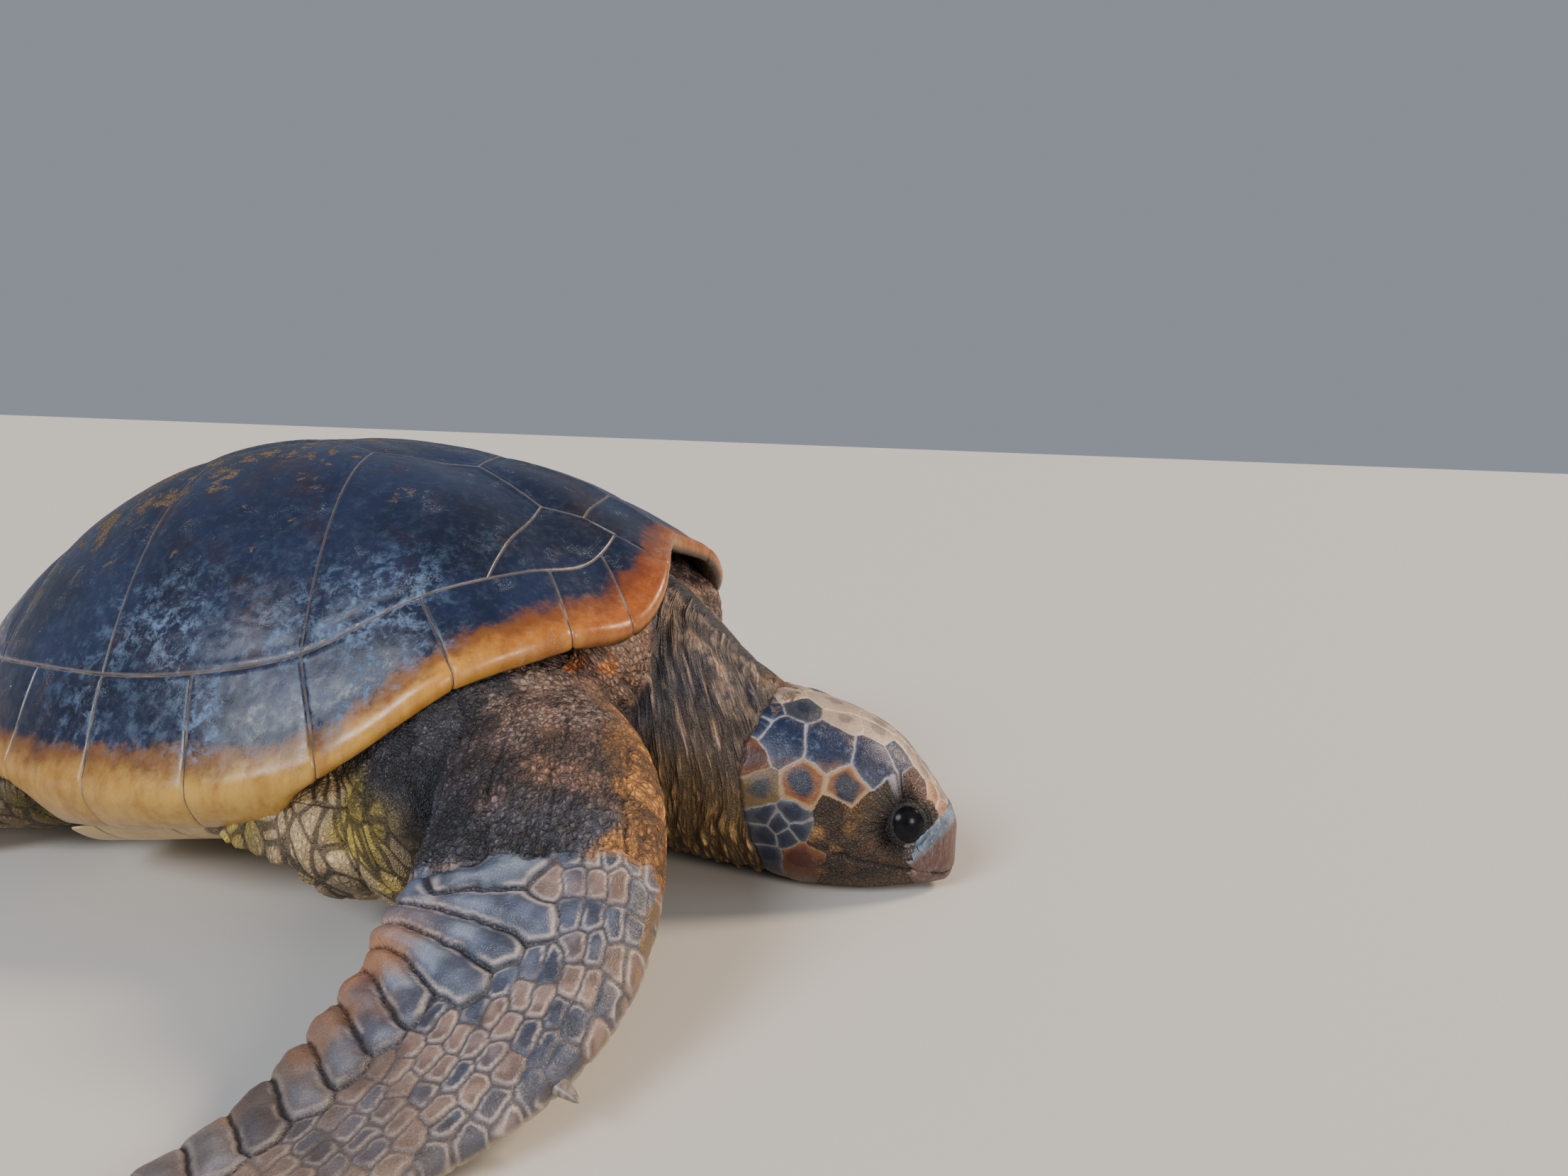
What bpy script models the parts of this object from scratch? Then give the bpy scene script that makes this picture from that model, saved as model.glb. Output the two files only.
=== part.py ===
"""Loggerhead turtle, life size: an adult female lying on its belly with the front of its shell raised,
its fore flippers spread and its chin on the ground.

World frame, metres: +X towards the head, +Y to the turtle's left, +Z up. The floor is z = 0, and the
origin is the middle of the small flat on which the belly rests.
The shell is shaped in its own frame, level, with its plan centre at the origin and the belly's lowest
point at z = 0. It is tilted nose up onto its resting point in the ground's frame, where the flesh is
modelled. Last of all everything moves along X, so that the resting flat's middle is the origin.
"""

import math

import bmesh
import bpy
import numpy as np
from mathutils import Matrix, Vector

# Driving sizes of the shell.
SHELL_LENGTH = 0.80
HALF_LENGTH = SHELL_LENGTH / 2
HALF_WIDTH = 0.389 * SHELL_LENGTH
SHELL_DEPTH = 0.4375 * SHELL_LENGTH
FRONT_BROADER = 0.156
DOME_SQUARENESS = 2.48
DOME_FALL = 0.94
DOME_REAR_SOFTER = 0.55
DOME_FRONT_SOFTER = 0.60
REAR_TAPER = 0.16
# The hollow in the front edge over the neck: its depth, as a share of the half length, its width in
# degrees, and how often its place is closed in on when a plan position is turned round.
NOTCH_DEPTH = 0.0975
NOTCH_SPREAD = 12.5
NOTCH_ROUNDS = 24
NOSE_UP = math.radians(7.2)
REST_X = -0.27
GROUND_X = -0.20

# Height of the shell's widest line above the belly, by the angle round the plan from the nose.
RIM_ANGLES = (0, 12, 24, 35, 50, 68, 85, 115, 150, 180)
RIM_HEIGHTS = (0.229, 0.206, 0.168, 0.168, 0.152, 0.096, 0.084, 0.104, 0.117, 0.105)

# Plates. Seams between marginals, at the rim and at the marginals' inner border, front to rear.
RIM_SEAMS = (11.6, 24.5, 34.5, 50, 66.5, 82, 96, 110, 123, 135.5, 147.5, 160.5, 180)
INNER_SEAMS = (14.2, 19.8, 31, 51, 67.5, 82.5, 97, 111, 124, 136.5, 148.5, 161.5, 180)
MARGINAL_BORDER = 0.87
MARGINAL_STEPS = 2
PLATE_THICKNESS = 0.008
MARGINAL_THICKNESS = 0.016
PLATE_GAP = 0.0004
NUCHAL_REAR_X = 0.302
# Half widths of the vertebral row: at each seam across it, and at each plate's side corner.
VERTEBRAL_SEAMS = ((NUCHAL_REAR_X, 0.072), (0.196, 0.047), (0.034, 0.045), (-0.120, 0.042), (-0.262, 0.036))
VERTEBRAL_CORNERS = ((0.266, 0.080), (0.112, 0.082), (-0.046, 0.078), (-0.194, 0.068))
# Where each costal plate's rear seam meets the marginals: a marginal's number and the step along it.
COSTAL_REAR_ENDS = ((2, 1), (4, 0), (6, 0), (8, 0), (11, 0))
COSTAL_ROWS = 3
VERTEBRAL_ROWS = 3

# Belly.
BELLY_TOP = 0.034
BELLY_TURN_X = -0.15
BELLY_ROUND = math.tan(NOSE_UP) / (2 * (BELLY_TURN_X - REST_X))
BELLY_FRONT = 0.285
BELLY_REAR = -0.325
BRIDGE_FRONT = 0.150
BRIDGE_REAR = -0.125
BRIDGE_BORDER = 0.885
BRIDGE_FOOT = 0.048
FLAT_DEPTH = 0.0015

# Flesh.
VOXEL = 0.008
CUT_GAP = 0.0003
CUTTER_REACH = 1.5
FLESH_CLEARANCE = 0.0006
CORE_BORDER = 0.80
CORE_DROP = 0.008
NECK_PLANE_X = 0.545
NECK_HALF_WIDTH = 0.140
HEAD_PLANE_X = 0.640

# Head, from the front of the beak backwards.
BEAK_X = 0.807
EYE_RADIUS = 0.0185
EYE_PLACE = (0.7655, 0.0375, 0.0665)
HEAD_Y = -0.045
CLAW_LENGTH = 0.015
CLAW_STATION = 5
BLADE_LEAD = 0.35

SHELL_DARK = (0.045, 0.055, 0.095)
HORN_AMBER = (0.42, 0.22, 0.08)
SKIN = (0.20, 0.17, 0.14)
BELLY = (0.60, 0.48, 0.26)
HORN_GREY = (0.28, 0.27, 0.27)
EYE = (0.01, 0.01, 0.012)


def clear_scene():
    for obj in list(bpy.data.objects):
        bpy.data.objects.remove(obj)


def material(name, colour, roughness):
    """A Principled material of one colour."""
    made = bpy.data.materials.new(name)
    made.use_nodes = True
    shader = made.node_tree.nodes["Principled BSDF"]
    shader.inputs["Base Color"].default_value = (*colour, 1)
    shader.inputs["Roughness"].default_value = roughness
    return made


def add_object(name, verts, faces, finish=None):
    """A smooth-shaded mesh object, its faces turned to point outwards."""
    mesh = bpy.data.meshes.new(name)
    mesh.from_pydata([tuple(v) for v in verts], [], faces)
    obj = bpy.data.objects.new(name, mesh)
    bpy.context.scene.collection.objects.link(obj)
    edit(obj, lambda bm: bmesh.ops.recalc_face_normals(bm, faces=bm.faces))
    mesh.shade_smooth()
    mesh.set_sharp_from_angle(angle=math.radians(40))
    if finish:
        mesh.materials.append(finish)
    return obj


def edit(obj, change):
    """Runs change(bm) on the object's mesh."""
    bm = bmesh.new()
    bm.from_mesh(obj.data)
    change(bm)
    bm.to_mesh(obj.data)
    bm.free()
    obj.data.update()


def helper(obj):
    """Marks an object as a cutter or a guide."""
    obj.hide_render = True
    obj.display_type = "WIRE"
    return obj


def remove(*objects):
    for obj in objects:
        bpy.data.objects.remove(obj)


def apply_modifiers(obj):
    """Replaces the mesh by what its modifiers make of it."""
    graph = bpy.context.evaluated_depsgraph_get()
    mesh = bpy.data.meshes.new_from_object(obj.evaluated_get(graph))
    obj.modifiers.clear()
    obj.data = mesh
    return obj


def boolean(obj, other, operation):
    """Applies one exact Boolean with another object."""
    modifier = obj.modifiers.new(operation.lower(), "BOOLEAN")
    modifier.operation = operation
    modifier.object = other
    return apply_modifiers(obj)


def keep_side(obj, point, normal):
    """Cuts the object by a plane and drops what lies on the normal's side."""
    mesh = bpy.data.meshes.new("cutter_side")
    bm = bmesh.new()
    bmesh.ops.create_cube(bm, size=2 * CUTTER_REACH)
    bmesh.ops.translate(bm, vec=(0, 0, CUTTER_REACH), verts=bm.verts)
    turn = Vector((0, 0, 1)).rotation_difference(Vector(normal)).to_matrix()
    bmesh.ops.rotate(bm, cent=(0, 0, 0), matrix=turn, verts=bm.verts)
    bmesh.ops.translate(bm, vec=Vector(point), verts=bm.verts)
    bm.to_mesh(mesh)
    bm.free()
    side = helper(bpy.data.objects.new("cutter_side", mesh))
    bpy.context.scene.collection.objects.link(side)
    boolean(obj, side, "DIFFERENCE")
    remove(side)
    return obj


def part_off(obj, name, point, normal):
    """Parts the object in two along a plane, leaving CUT_GAP between. The new piece is the normal's side."""
    normal = Vector(normal).normalized()
    piece = obj.copy()
    piece.data = obj.data.copy()
    piece.name = name
    bpy.context.scene.collection.objects.link(piece)
    keep_side(obj, Vector(point) - normal * CUT_GAP / 2, normal)
    keep_side(piece, Vector(point) + normal * CUT_GAP / 2, -normal)
    return piece


def loft(rings, turned_from=None):
    """Vertices and faces of a closed skin over rings of equally many points, with flat ends.

    Each square between rings is split along one diagonal, and along the other one from the point
    turned_from onwards.
    """
    count = len(rings[0])
    verts = [p for ring in rings for p in ring]
    faces = []
    for r in range(len(rings) - 1):
        for i in range(count):
            after = (i + 1) % count
            a, b = r * count + i, r * count + after
            c, d = b + count, a + count
            if turned_from is not None and i >= turned_from:
                faces += [(a, b, d), (b, c, d)]
            else:
                faces += [(a, b, c), (a, c, d)]
    faces.append(tuple(range(count)))
    faces.append(tuple((len(rings) - 1) * count + i for i in range(count)))
    return verts, faces


def smooth_values(knots, values, at):
    """Values read from a smooth curve through (knot, value) pairs. Each value may be a number or a vector."""
    knots = np.asarray(knots, float)
    values = np.asarray(values, float)
    slopes = np.gradient(values, knots, axis=0)
    i = int(np.clip(np.searchsorted(knots, at) - 1, 0, len(knots) - 2))
    step = knots[i + 1] - knots[i]
    t = (at - knots[i]) / step
    return (
        (2 * t**3 - 3 * t**2 + 1) * values[i]
        + (t**3 - 2 * t**2 + t) * step * slopes[i]
        + (3 * t**2 - 2 * t**3) * values[i + 1]
        + (t**3 - t**2) * step * slopes[i + 1]
    )


def smoothstep(low, high, x):
    t = min(max((x - low) / (high - low), 0.0), 1.0)
    return t * t * (3 - 2 * t)


# --- The shell's form -------------------------------------------------------------------------------


def plan(rho, angle):
    """Plan position at a share rho of the way from the centre to the rim, at an angle in degrees."""
    along = rho * math.cos(math.radians(angle))
    across = rho * math.sin(math.radians(angle))
    return HALF_LENGTH * (along - notch(rho, angle)), HALF_WIDTH * across * breadth(along)


def notch(rho, angle):
    """How far back the plan is drawn over the neck, as a share of the half length."""
    return NOTCH_DEPTH * rho**3 * math.exp(-((angle / NOTCH_SPREAD) ** 2))


def breadth(along):
    """How much broader or narrower than an ellipse the shell is, at a share of its half length."""
    return 1 + FRONT_BROADER * along - REAR_TAPER * max(-along - 0.15, 0) ** 2


def disk(x, y):
    """The share and the angle of a plan position: plan() turned round, by closing in on them."""
    along = x / HALF_LENGTH
    for _ in range(NOTCH_ROUNDS):
        across = y / (HALF_WIDTH * breadth(along))
        rho = math.hypot(along, across)
        angle = math.degrees(math.atan2(across, along))
        along = x / HALF_LENGTH + notch(rho, angle)
    return rho, angle


def rim_height(angle):
    return float(smooth_values(RIM_ANGLES, RIM_HEIGHTS, abs(angle)))


def top_height(rho, angle):
    """Height of the shell's outer face."""
    rim = rim_height(angle)
    squareness = DOME_SQUARENESS - DOME_REAR_SOFTER * smoothstep(80, 180, abs(angle))
    squareness -= DOME_FRONT_SOFTER * smoothstep(70, 0, abs(angle))
    dome = max(1 - rho**squareness, 0.0) ** DOME_FALL
    return rim + (SHELL_DEPTH - rim) * dome


def tilted(point):
    """From the shell's level frame to the ground's: nose up, resting on the belly's flat."""
    rest = Vector((REST_X, 0, belly_height(REST_X, 0)))
    turned = Matrix.Rotation(-NOSE_UP, 3, "Y") @ (Vector(point) - rest)
    return turned + Vector((REST_X - GROUND_X, 0, -FLAT_DEPTH))


def bridge_share(angle):
    """1 where shell and belly join at the side, 0 at the openings for neck and limbs."""
    x, _ = plan(1, angle)
    return smoothstep(BRIDGE_FRONT + 0.03, BRIDGE_FRONT - 0.03, x) * smoothstep(
        BRIDGE_REAR - 0.03, BRIDGE_REAR + 0.03, x
    )


# --- Carapace plates ------------------------------------------------------------------------------


def marginal_ring(inner_angle, rim_angle, border):
    """Outline of a marginal cut across the rim, from its inner border over the rim to its underside."""
    shares = (border, 0.92, 0.965, 0.99, 1.0)

    def angle_at(rho):
        t = (rho - border) / (1 - border)
        return inner_angle + (rim_angle - inner_angle) * t

    ring = [(*plan(r, angle_at(r)), top_height(r, angle_at(r))) for r in shares]
    rim = rim_height(rim_angle)
    joined = bridge_share(rim_angle)
    open_under = (
        (0.985, rim - 0.011),
        (0.945, top_height(0.945, rim_angle) - MARGINAL_THICKNESS - 0.003),
        (border + 0.012, top_height(border, inner_angle) - MARGINAL_THICKNESS),
    )
    fall = rim - BRIDGE_FOOT
    bridge_under = ((0.990, rim - 0.35 * fall), (0.955, rim - 0.75 * fall), (0.905, BRIDGE_FOOT))
    for (open_rho, open_z), (bridge_rho, bridge_z) in zip(open_under, bridge_under):
        rho = open_rho + (bridge_rho - open_rho) * joined
        ring.append((*plan(rho, angle_at(rho)), open_z + (bridge_z - open_z) * joined))
    wall = top_height(border, inner_angle) - MARGINAL_THICKNESS * 0.7
    ring.append((*plan(border, inner_angle), wall))
    return ring


def marginal(name, number, side, finish):
    """One marginal plate. number counts from 0 behind the nuchal; side is 1 left, -1 right."""
    rings = []
    for step in range(MARGINAL_STEPS + 1):
        share = step / MARGINAL_STEPS
        inner = INNER_SEAMS[number] + (INNER_SEAMS[number + 1] - INNER_SEAMS[number]) * share
        rim = RIM_SEAMS[number] + (RIM_SEAMS[number + 1] - RIM_SEAMS[number]) * share
        nudge = math.degrees(PLATE_GAP / HALF_WIDTH) * {0: 1, MARGINAL_STEPS: -1}.get(step, 0)
        border = MARGINAL_BORDER + PLATE_GAP / HALF_WIDTH
        ring = marginal_ring(inner + nudge, rim + nudge, border)
        rings.append([tilted((x, side * y, z)) for x, y, z in ring])
    return add_object(name, *loft(rings), finish)


def nuchal(finish):
    """The plate over the neck: as a marginal, but it reaches further back between the first costals."""
    corner_x, corner_y = plan(MARGINAL_BORDER, INNER_SEAMS[0])
    rear_half = VERTEBRAL_SEAMS[0][1]
    gap = PLATE_GAP
    inner_line = (
        (corner_x, -corner_y + gap), (NUCHAL_REAR_X + gap, -rear_half + gap), (NUCHAL_REAR_X + gap, 0),
        (NUCHAL_REAR_X + gap, rear_half - gap), (corner_x, corner_y - gap),
    )
    rim_reach = RIM_SEAMS[0] - math.degrees(gap / HALF_WIDTH)
    rings = []
    for i, (x, y) in enumerate(inner_line):
        border, inner_angle = disk(x, y)
        rings.append([tilted(p) for p in marginal_ring(inner_angle, rim_reach * (i - 2) / 2, border)])
    return add_object("scute_nuchal", *loft(rings), finish)


def plate(name, side_a, side_b, rows, finish):
    """A plate ruled between two plan lines of equally many points, PLATE_THICKNESS thick."""
    first, last = np.array(side_a, float), np.array(side_b, float)
    for line in (first, last):
        for end, inward in ((0, 1), (-1, -2)):
            step = line[inward] - line[end]
            line[end] += step / np.linalg.norm(step) * PLATE_GAP
    across = last - first
    trim = PLATE_GAP * across / np.linalg.norm(across, axis=1)[:, None]
    first, last = first + trim, last - trim
    columns = len(first)
    top = [
        [first[c] + (last[c] - first[c]) * r / rows for c in range(columns)]
        for r in range(rows + 1)
    ]
    verts = []
    for drop in (0, PLATE_THICKNESS):
        for row in top:
            verts += [tilted((x, y, top_height(*disk(x, y)) - drop)) for x, y in row]
    layer = (rows + 1) * columns

    def at(r, c, under):
        return under * layer + r * columns + c

    faces = []
    for under in (0, 1):
        faces += [
            (at(r, c, under), at(r, c + 1, under), at(r + 1, c + 1, under), at(r + 1, c, under))
            for r in range(rows)
            for c in range(columns - 1)
        ]
    border = [(0, c) for c in range(columns)] + [(r, columns - 1) for r in range(1, rows + 1)]
    border += [(rows, c) for c in range(columns - 2, -1, -1)] + [(r, 0) for r in range(rows - 1, 0, -1)]
    for (r0, c0), (r1, c1) in zip(border, border[1:] + border[:1]):
        faces.append((at(r0, c0, 0), at(r1, c1, 0), at(r1, c1, 1), at(r0, c0, 1)))
    return add_object(name, verts, faces, finish)


def border_knots(first, last):
    """Plan points along the marginals' inner border, from one (marginal, step) to another."""
    points = []
    for index in range(first[0] * MARGINAL_STEPS + first[1], last[0] * MARGINAL_STEPS + last[1] + 1):
        number, step = divmod(index, MARGINAL_STEPS)
        angle = INNER_SEAMS[number]
        if step:
            angle += (INNER_SEAMS[number + 1] - angle) * step / MARGINAL_STEPS
        points.append(plan(MARGINAL_BORDER, angle))
    return points


def spread(points, count):
    """count + 1 points along a polyline, keeping its corners."""
    spans = len(points) - 1
    per_span = [count // spans + (i < count % spans) for i in range(spans)]
    line = [points[0]]
    for (x0, y0), (x1, y1), steps in zip(points, points[1:], per_span):
        line += [(x0 + (x1 - x0) * s / steps, y0 + (y1 - y0) * s / steps) for s in range(1, steps + 1)]
    return line


def costal_inner_line(number):
    """Plan corners of a costal plate's side on the vertebral row, front to rear."""
    if number == 0:
        return [plan(MARGINAL_BORDER, INNER_SEAMS[0]), VERTEBRAL_SEAMS[0], VERTEBRAL_CORNERS[0]]
    if number == 4:
        return [VERTEBRAL_CORNERS[3], VERTEBRAL_SEAMS[4], plan(MARGINAL_BORDER, INNER_SEAMS[11])]
    return [VERTEBRAL_CORNERS[number - 1], VERTEBRAL_SEAMS[number], VERTEBRAL_CORNERS[number]]


def costal(name, number, side, finish):
    starts = ((0, 0), *COSTAL_REAR_ENDS)
    outer = border_knots(starts[number], starts[number + 1])
    inner = spread(costal_inner_line(number), len(outer) - 1)
    if number == 0:
        inner[0] = (inner[0][0] - 0.0030, inner[0][1] + 0.0005)
        outer[0] = (outer[0][0] - 0.0008, outer[0][1] + 0.0020)
    if number == 4:
        inner[-1] = (inner[-1][0] + 0.0040, inner[-1][1] + 0.0012)
    inner = [(x, side * y) for x, y in inner]
    outer = [(x, side * y) for x, y in outer]
    return plate(name, inner, outer, COSTAL_ROWS, finish)


def vertebral(name, number, finish):
    """A plate of the middle row, ruled from its right side to its left."""
    front = VERTEBRAL_SEAMS[number]
    if number == 4:
        half = border_knots((11, 0), (12, 0))
        rear = [(x, -y) for x, y in half[:-1]] + half[::-1]
        across = [(front[0], y) for y in np.linspace(-front[1], front[1], len(rear))]
        return plate(name, across, rear, VERTEBRAL_ROWS, finish)
    line = spread([front, VERTEBRAL_CORNERS[number], VERTEBRAL_SEAMS[number + 1]], 4)
    right = [(x, -y) for x, y in line]
    return plate(name, right, line, VERTEBRAL_ROWS, finish)


def carapace(dark, amber):
    plates = [nuchal(dark)]
    for number in range(5):
        plates.append(vertebral(f"scute_vertebral_{number + 1}", number, dark))
    for side, word in ((-1, "right"), (1, "left")):
        for number in range(5):
            plates.append(costal(f"scute_costal_{word}_{number + 1}", number, side, dark))
        for number in range(12):
            plates.append(marginal(f"scute_marginal_{word}_{number + 1:02d}", number, side, amber))
    return plates


# --- Belly shell --------------------------------------------------------------------------------------


def belly_height(x, y):
    """Height of the belly's outer face: flat, turned up towards the sides, the rear and a little in front."""
    rear = max(BELLY_TURN_X - x, 0)
    front = max(x - 0.16, 0)
    return BELLY_ROUND * rear**2 + 0.9 * front**2 + 0.028 * (abs(y) / (0.8 * HALF_WIDTH)) ** 4


def belly_half_width(x):
    """Half width of the belly shell: a broad front lobe, a narrower rear one, and the bridges between."""
    front = 0.150 * max(1 - (max(x - 0.06, 0) / (BELLY_FRONT - 0.06)) ** 2.6, 0) ** 0.46
    rear = 0.132 * max(1 - (max(-x - 0.04, 0) / (-BELLY_REAR - 0.04)) ** 2.2, 0) ** 0.52
    lobe = min(front, rear)
    share = smoothstep(BRIDGE_FRONT + 0.02, BRIDGE_FRONT - 0.02, x)
    share *= smoothstep(BRIDGE_REAR - 0.02, BRIDGE_REAR + 0.02, x)
    along = x / HALF_LENGTH
    bridge = BRIDGE_BORDER * HALF_WIDTH * breadth(along) * math.sqrt(1 - (along / BRIDGE_BORDER) ** 2)
    return max(lobe, 0.012) + (bridge - lobe) * share


def belly_stations(grow):
    """Stations along the belly shell, its two ends moved out by grow."""
    stations = [BELLY_REAR - grow, -0.315, -0.29, -0.25, -0.20, -0.148, -0.130, -0.112, -0.05, 0.04]
    return stations + [0.125, 0.145, 0.165, 0.21, 0.25, 0.275, BELLY_FRONT + grow]


def plastron(name, grow, finish=None):
    """The belly shell, in rings across it. Grown, it reaches far down and serves as a cutter."""
    shares = (-1, -0.93, -0.8, -0.45, 0, 0.45, 0.8, 0.93, 1)
    rings = []
    for x in belly_stations(grow):
        half = belly_half_width(x) + grow
        low = [(x, half * s, belly_height(x, half * s) + 0.010 * abs(s) ** 12) for s in shares]
        high = [(x, half * s, max(BELLY_TOP, belly_height(x, half * s) + 0.012)) for s in reversed(shares)]
        if grow:
            low = [(px, py, -0.12) for px, py, _ in low]
            high = [(px, py, pz + grow) for px, py, pz in high]
        rings.append([tilted(p) for p in low + high])
    made = add_object(name, *loft(rings), finish)
    return helper(made) if grow else keep_side(made, (0, 0, 0), (0, 0, -1))


# --- Flesh ----------------------------------------------------------------------------------------------


def swept(stations, around=16, ends=0.0):
    """A closed skin along stations of (centre, half across, half thick, across direction, up direction)."""
    rings = []
    for centre, wide, thick, across, up in stations:
        ring = []
        for i in range(around):
            turn = 2 * math.pi * i / around
            u, v = math.cos(turn), math.sin(turn)
            ring.append(centre + across * (wide * u) + up * (thick * v * (1 + ends * u)))
        rings.append(ring)
    return rings


def limb_stations(knots, places, halves, thicks, ups, steps):
    """Stations along a limb: smooth curves through its places, half widths, half thicknesses and ups."""
    stations = []
    for step in range(steps + 1):
        t = knots[0] + (knots[-1] - knots[0]) * step / steps
        centre = Vector(smooth_values(knots, places, t))
        ahead = Vector(smooth_values(knots, places, min(t + 0.01, knots[-1])))
        behind = Vector(smooth_values(knots, places, max(t - 0.01, knots[0])))
        along = (ahead - behind).normalized()
        up = Vector(smooth_values(knots, ups, t))
        across = up.cross(along).normalized()
        up = along.cross(across).normalized()
        wide = float(smooth_values(knots, halves, t))
        thick = float(smooth_values(knots, thicks, t))
        stations.append((centre, wide, thick, across, up))
    return stations


def mirrored(points, side):
    return [(x, side * -y, z) for x, y, z in points]


# Fore flipper: shoulder, elbow, wrist, middle of the blade and tip, for the right side.
FORE_KNOTS = (0.0, 0.33, 0.55, 0.78, 0.93, 1.0)
FORE_PLACES_RIGHT = (
    (0.430, -0.150, 0.140), (0.535, -0.320, 0.122), (0.545, -0.430, 0.062), (0.490, -0.550, 0.016),
    (0.425, -0.632, 0.005), (0.388, -0.668, 0.003),
)
FORE_PLACES_LEFT = (
    (0.415, -0.150, 0.128), (0.455, -0.330, 0.088), (0.425, -0.440, 0.052), (0.345, -0.535, 0.016),
    (0.255, -0.600, 0.005), (0.210, -0.624, 0.003),
)
FORE_HALVES = (0.080, 0.080, 0.084, 0.060, 0.033, 0.007)
FORE_THICKS = (0.070, 0.046, 0.024, 0.0130, 0.007, 0.004)
FORE_UPS = (
    (0.0, -0.10, 1.0), (0.10, -0.45, 0.88), (0.05, -0.45, 0.88),
    (0.0, -0.08, 1.0), (0.0, 0.0, 1.0), (0.0, 0.0, 1.0),
)
ELBOW_SHARE = 0.36

# Hind flipper: hip, knee, middle of the foot and tip, for the right side.
HIND_KNOTS = (0.0, 0.35, 0.72, 0.93, 1.0)
HIND_PLACES = (
    (0.000, -0.130, 0.080), (-0.115, -0.222, 0.050), (-0.240, -0.285, 0.014), (-0.315, -0.315, 0.005),
    (-0.342, -0.325, 0.003),
)
HIND_HALVES = (0.060, 0.056, 0.068, 0.044, 0.014)
HIND_THICKS = (0.050, 0.036, 0.015, 0.007, 0.004)
HIND_UPS = ((0, 0, 1), (0, -0.15, 1), (0, 0, 1), (0, 0, 1), (0, 0, 1))


def fore_stations(side, first, last, steps):
    """Stations of a fore flipper between two shares of its length."""
    places = FORE_PLACES_RIGHT if side < 0 else FORE_PLACES_LEFT
    whole = limb_stations(
        FORE_KNOTS, mirrored(places, side), FORE_HALVES, FORE_THICKS, mirrored(FORE_UPS, side), 50
    )
    picks = np.linspace(first, last, steps + 1) * 50
    return [whole[int(round(p))] for p in picks]


def hind_stations(side, steps):
    """Stations of a hind flipper along its whole length."""
    places = mirrored(HIND_PLACES, side)
    return limb_stations(HIND_KNOTS, places, HIND_HALVES, HIND_THICKS, HIND_UPS, steps)


def body_forms():
    """The overlapping forms that make the soft body: core, neck, shoulders, thighs and tail."""
    forms = [add_object("form_core", *loft(core_rings()))]
    neck = (
        ((0.400, 0, 0.160), 0.150, 0.115), ((0.480, -0.008, 0.152), 0.138, 0.120),
        ((0.540, -0.020, 0.130), 0.118, 0.120), ((0.590, -0.033, 0.106), 0.098, 0.102),
        ((0.640, -0.042, 0.088), 0.088, 0.086), ((0.690, HEAD_Y, 0.082), 0.085, 0.078),
    )
    stations = [(Vector(c), w, h, Vector((0, 1, 0)), Vector((0, 0, 1))) for c, w, h in neck]
    forms.append(add_object("form_neck", *loft(swept(stations, 24))))
    for side in (-1, 1):
        arm = fore_stations(side, 0.0, 0.44, 6)
        forms.append(add_object("form_arm", *loft(swept(arm, 20))))
        forms.append(ellipsoid("form_shoulder", (0.415, side * 0.180, 0.125), (0.130, 0.110, 0.100)))
        forms.append(ellipsoid("form_axilla", (0.330, side * 0.225, 0.075), (0.120, 0.080, 0.055)))
        forms.append(ellipsoid("form_hip", (-0.030, side * 0.140, 0.075), (0.110, 0.100, 0.060)))
        thigh = hind_stations(side, 14)
        forms.append(add_object("form_thigh", *loft(swept(thigh[:9], 20))))
    forms.append(ellipsoid("form_rump", (-0.060, 0, 0.075), (0.120, 0.110, 0.055)))
    tail = [(Vector((x, 0, z)), r, r * 0.9, Vector((0, 1, 0)), Vector((0, 0, 1))) for x, z, r in TAIL]
    forms.append(add_object("form_tail", *loft(swept(tail, 14))))
    return forms


# The tail's middle line and radius: along, up, radius.
TAIL = (
    (-0.080, 0.062, 0.045), (-0.150, 0.044, 0.036), (-0.205, 0.029, 0.024),
    (-0.245, 0.018, 0.015), (-0.262, 0.013, 0.006),
)


def ellipsoid(name, centre, radii):
    bm = bmesh.new()
    bmesh.ops.create_icosphere(bm, subdivisions=3, radius=1)
    bmesh.ops.scale(bm, vec=Vector(radii), verts=bm.verts)
    bmesh.ops.translate(bm, vec=Vector(centre), verts=bm.verts)
    mesh = bpy.data.meshes.new(name)
    bm.to_mesh(mesh)
    bm.free()
    obj = bpy.data.objects.new(name, mesh)
    bpy.context.scene.collection.objects.link(obj)
    return obj


def core_rings():
    """The body inside the shell: rings round the plan, from the belly shell up to under the plates."""
    rings = []
    for share, level in ((0.55, 0), (0.97, 0), (1, 0.12), (1, 0.9), (0.96, 1), (0.8, 1), (0.55, 1), (0.2, 1)):
        ring = []
        for step in range(40):
            angle = 360 * step / 40
            signed = angle if angle <= 180 else angle - 360
            rho = CORE_BORDER * share
            x, y = plan(rho, signed)
            low = BELLY_TOP + 0.006
            high = top_height(rho, signed) - PLATE_THICKNESS - CORE_DROP
            ring.append(tilted((x, y, low + (high - low) * level)))
        rings.append(ring)
    return rings


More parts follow.
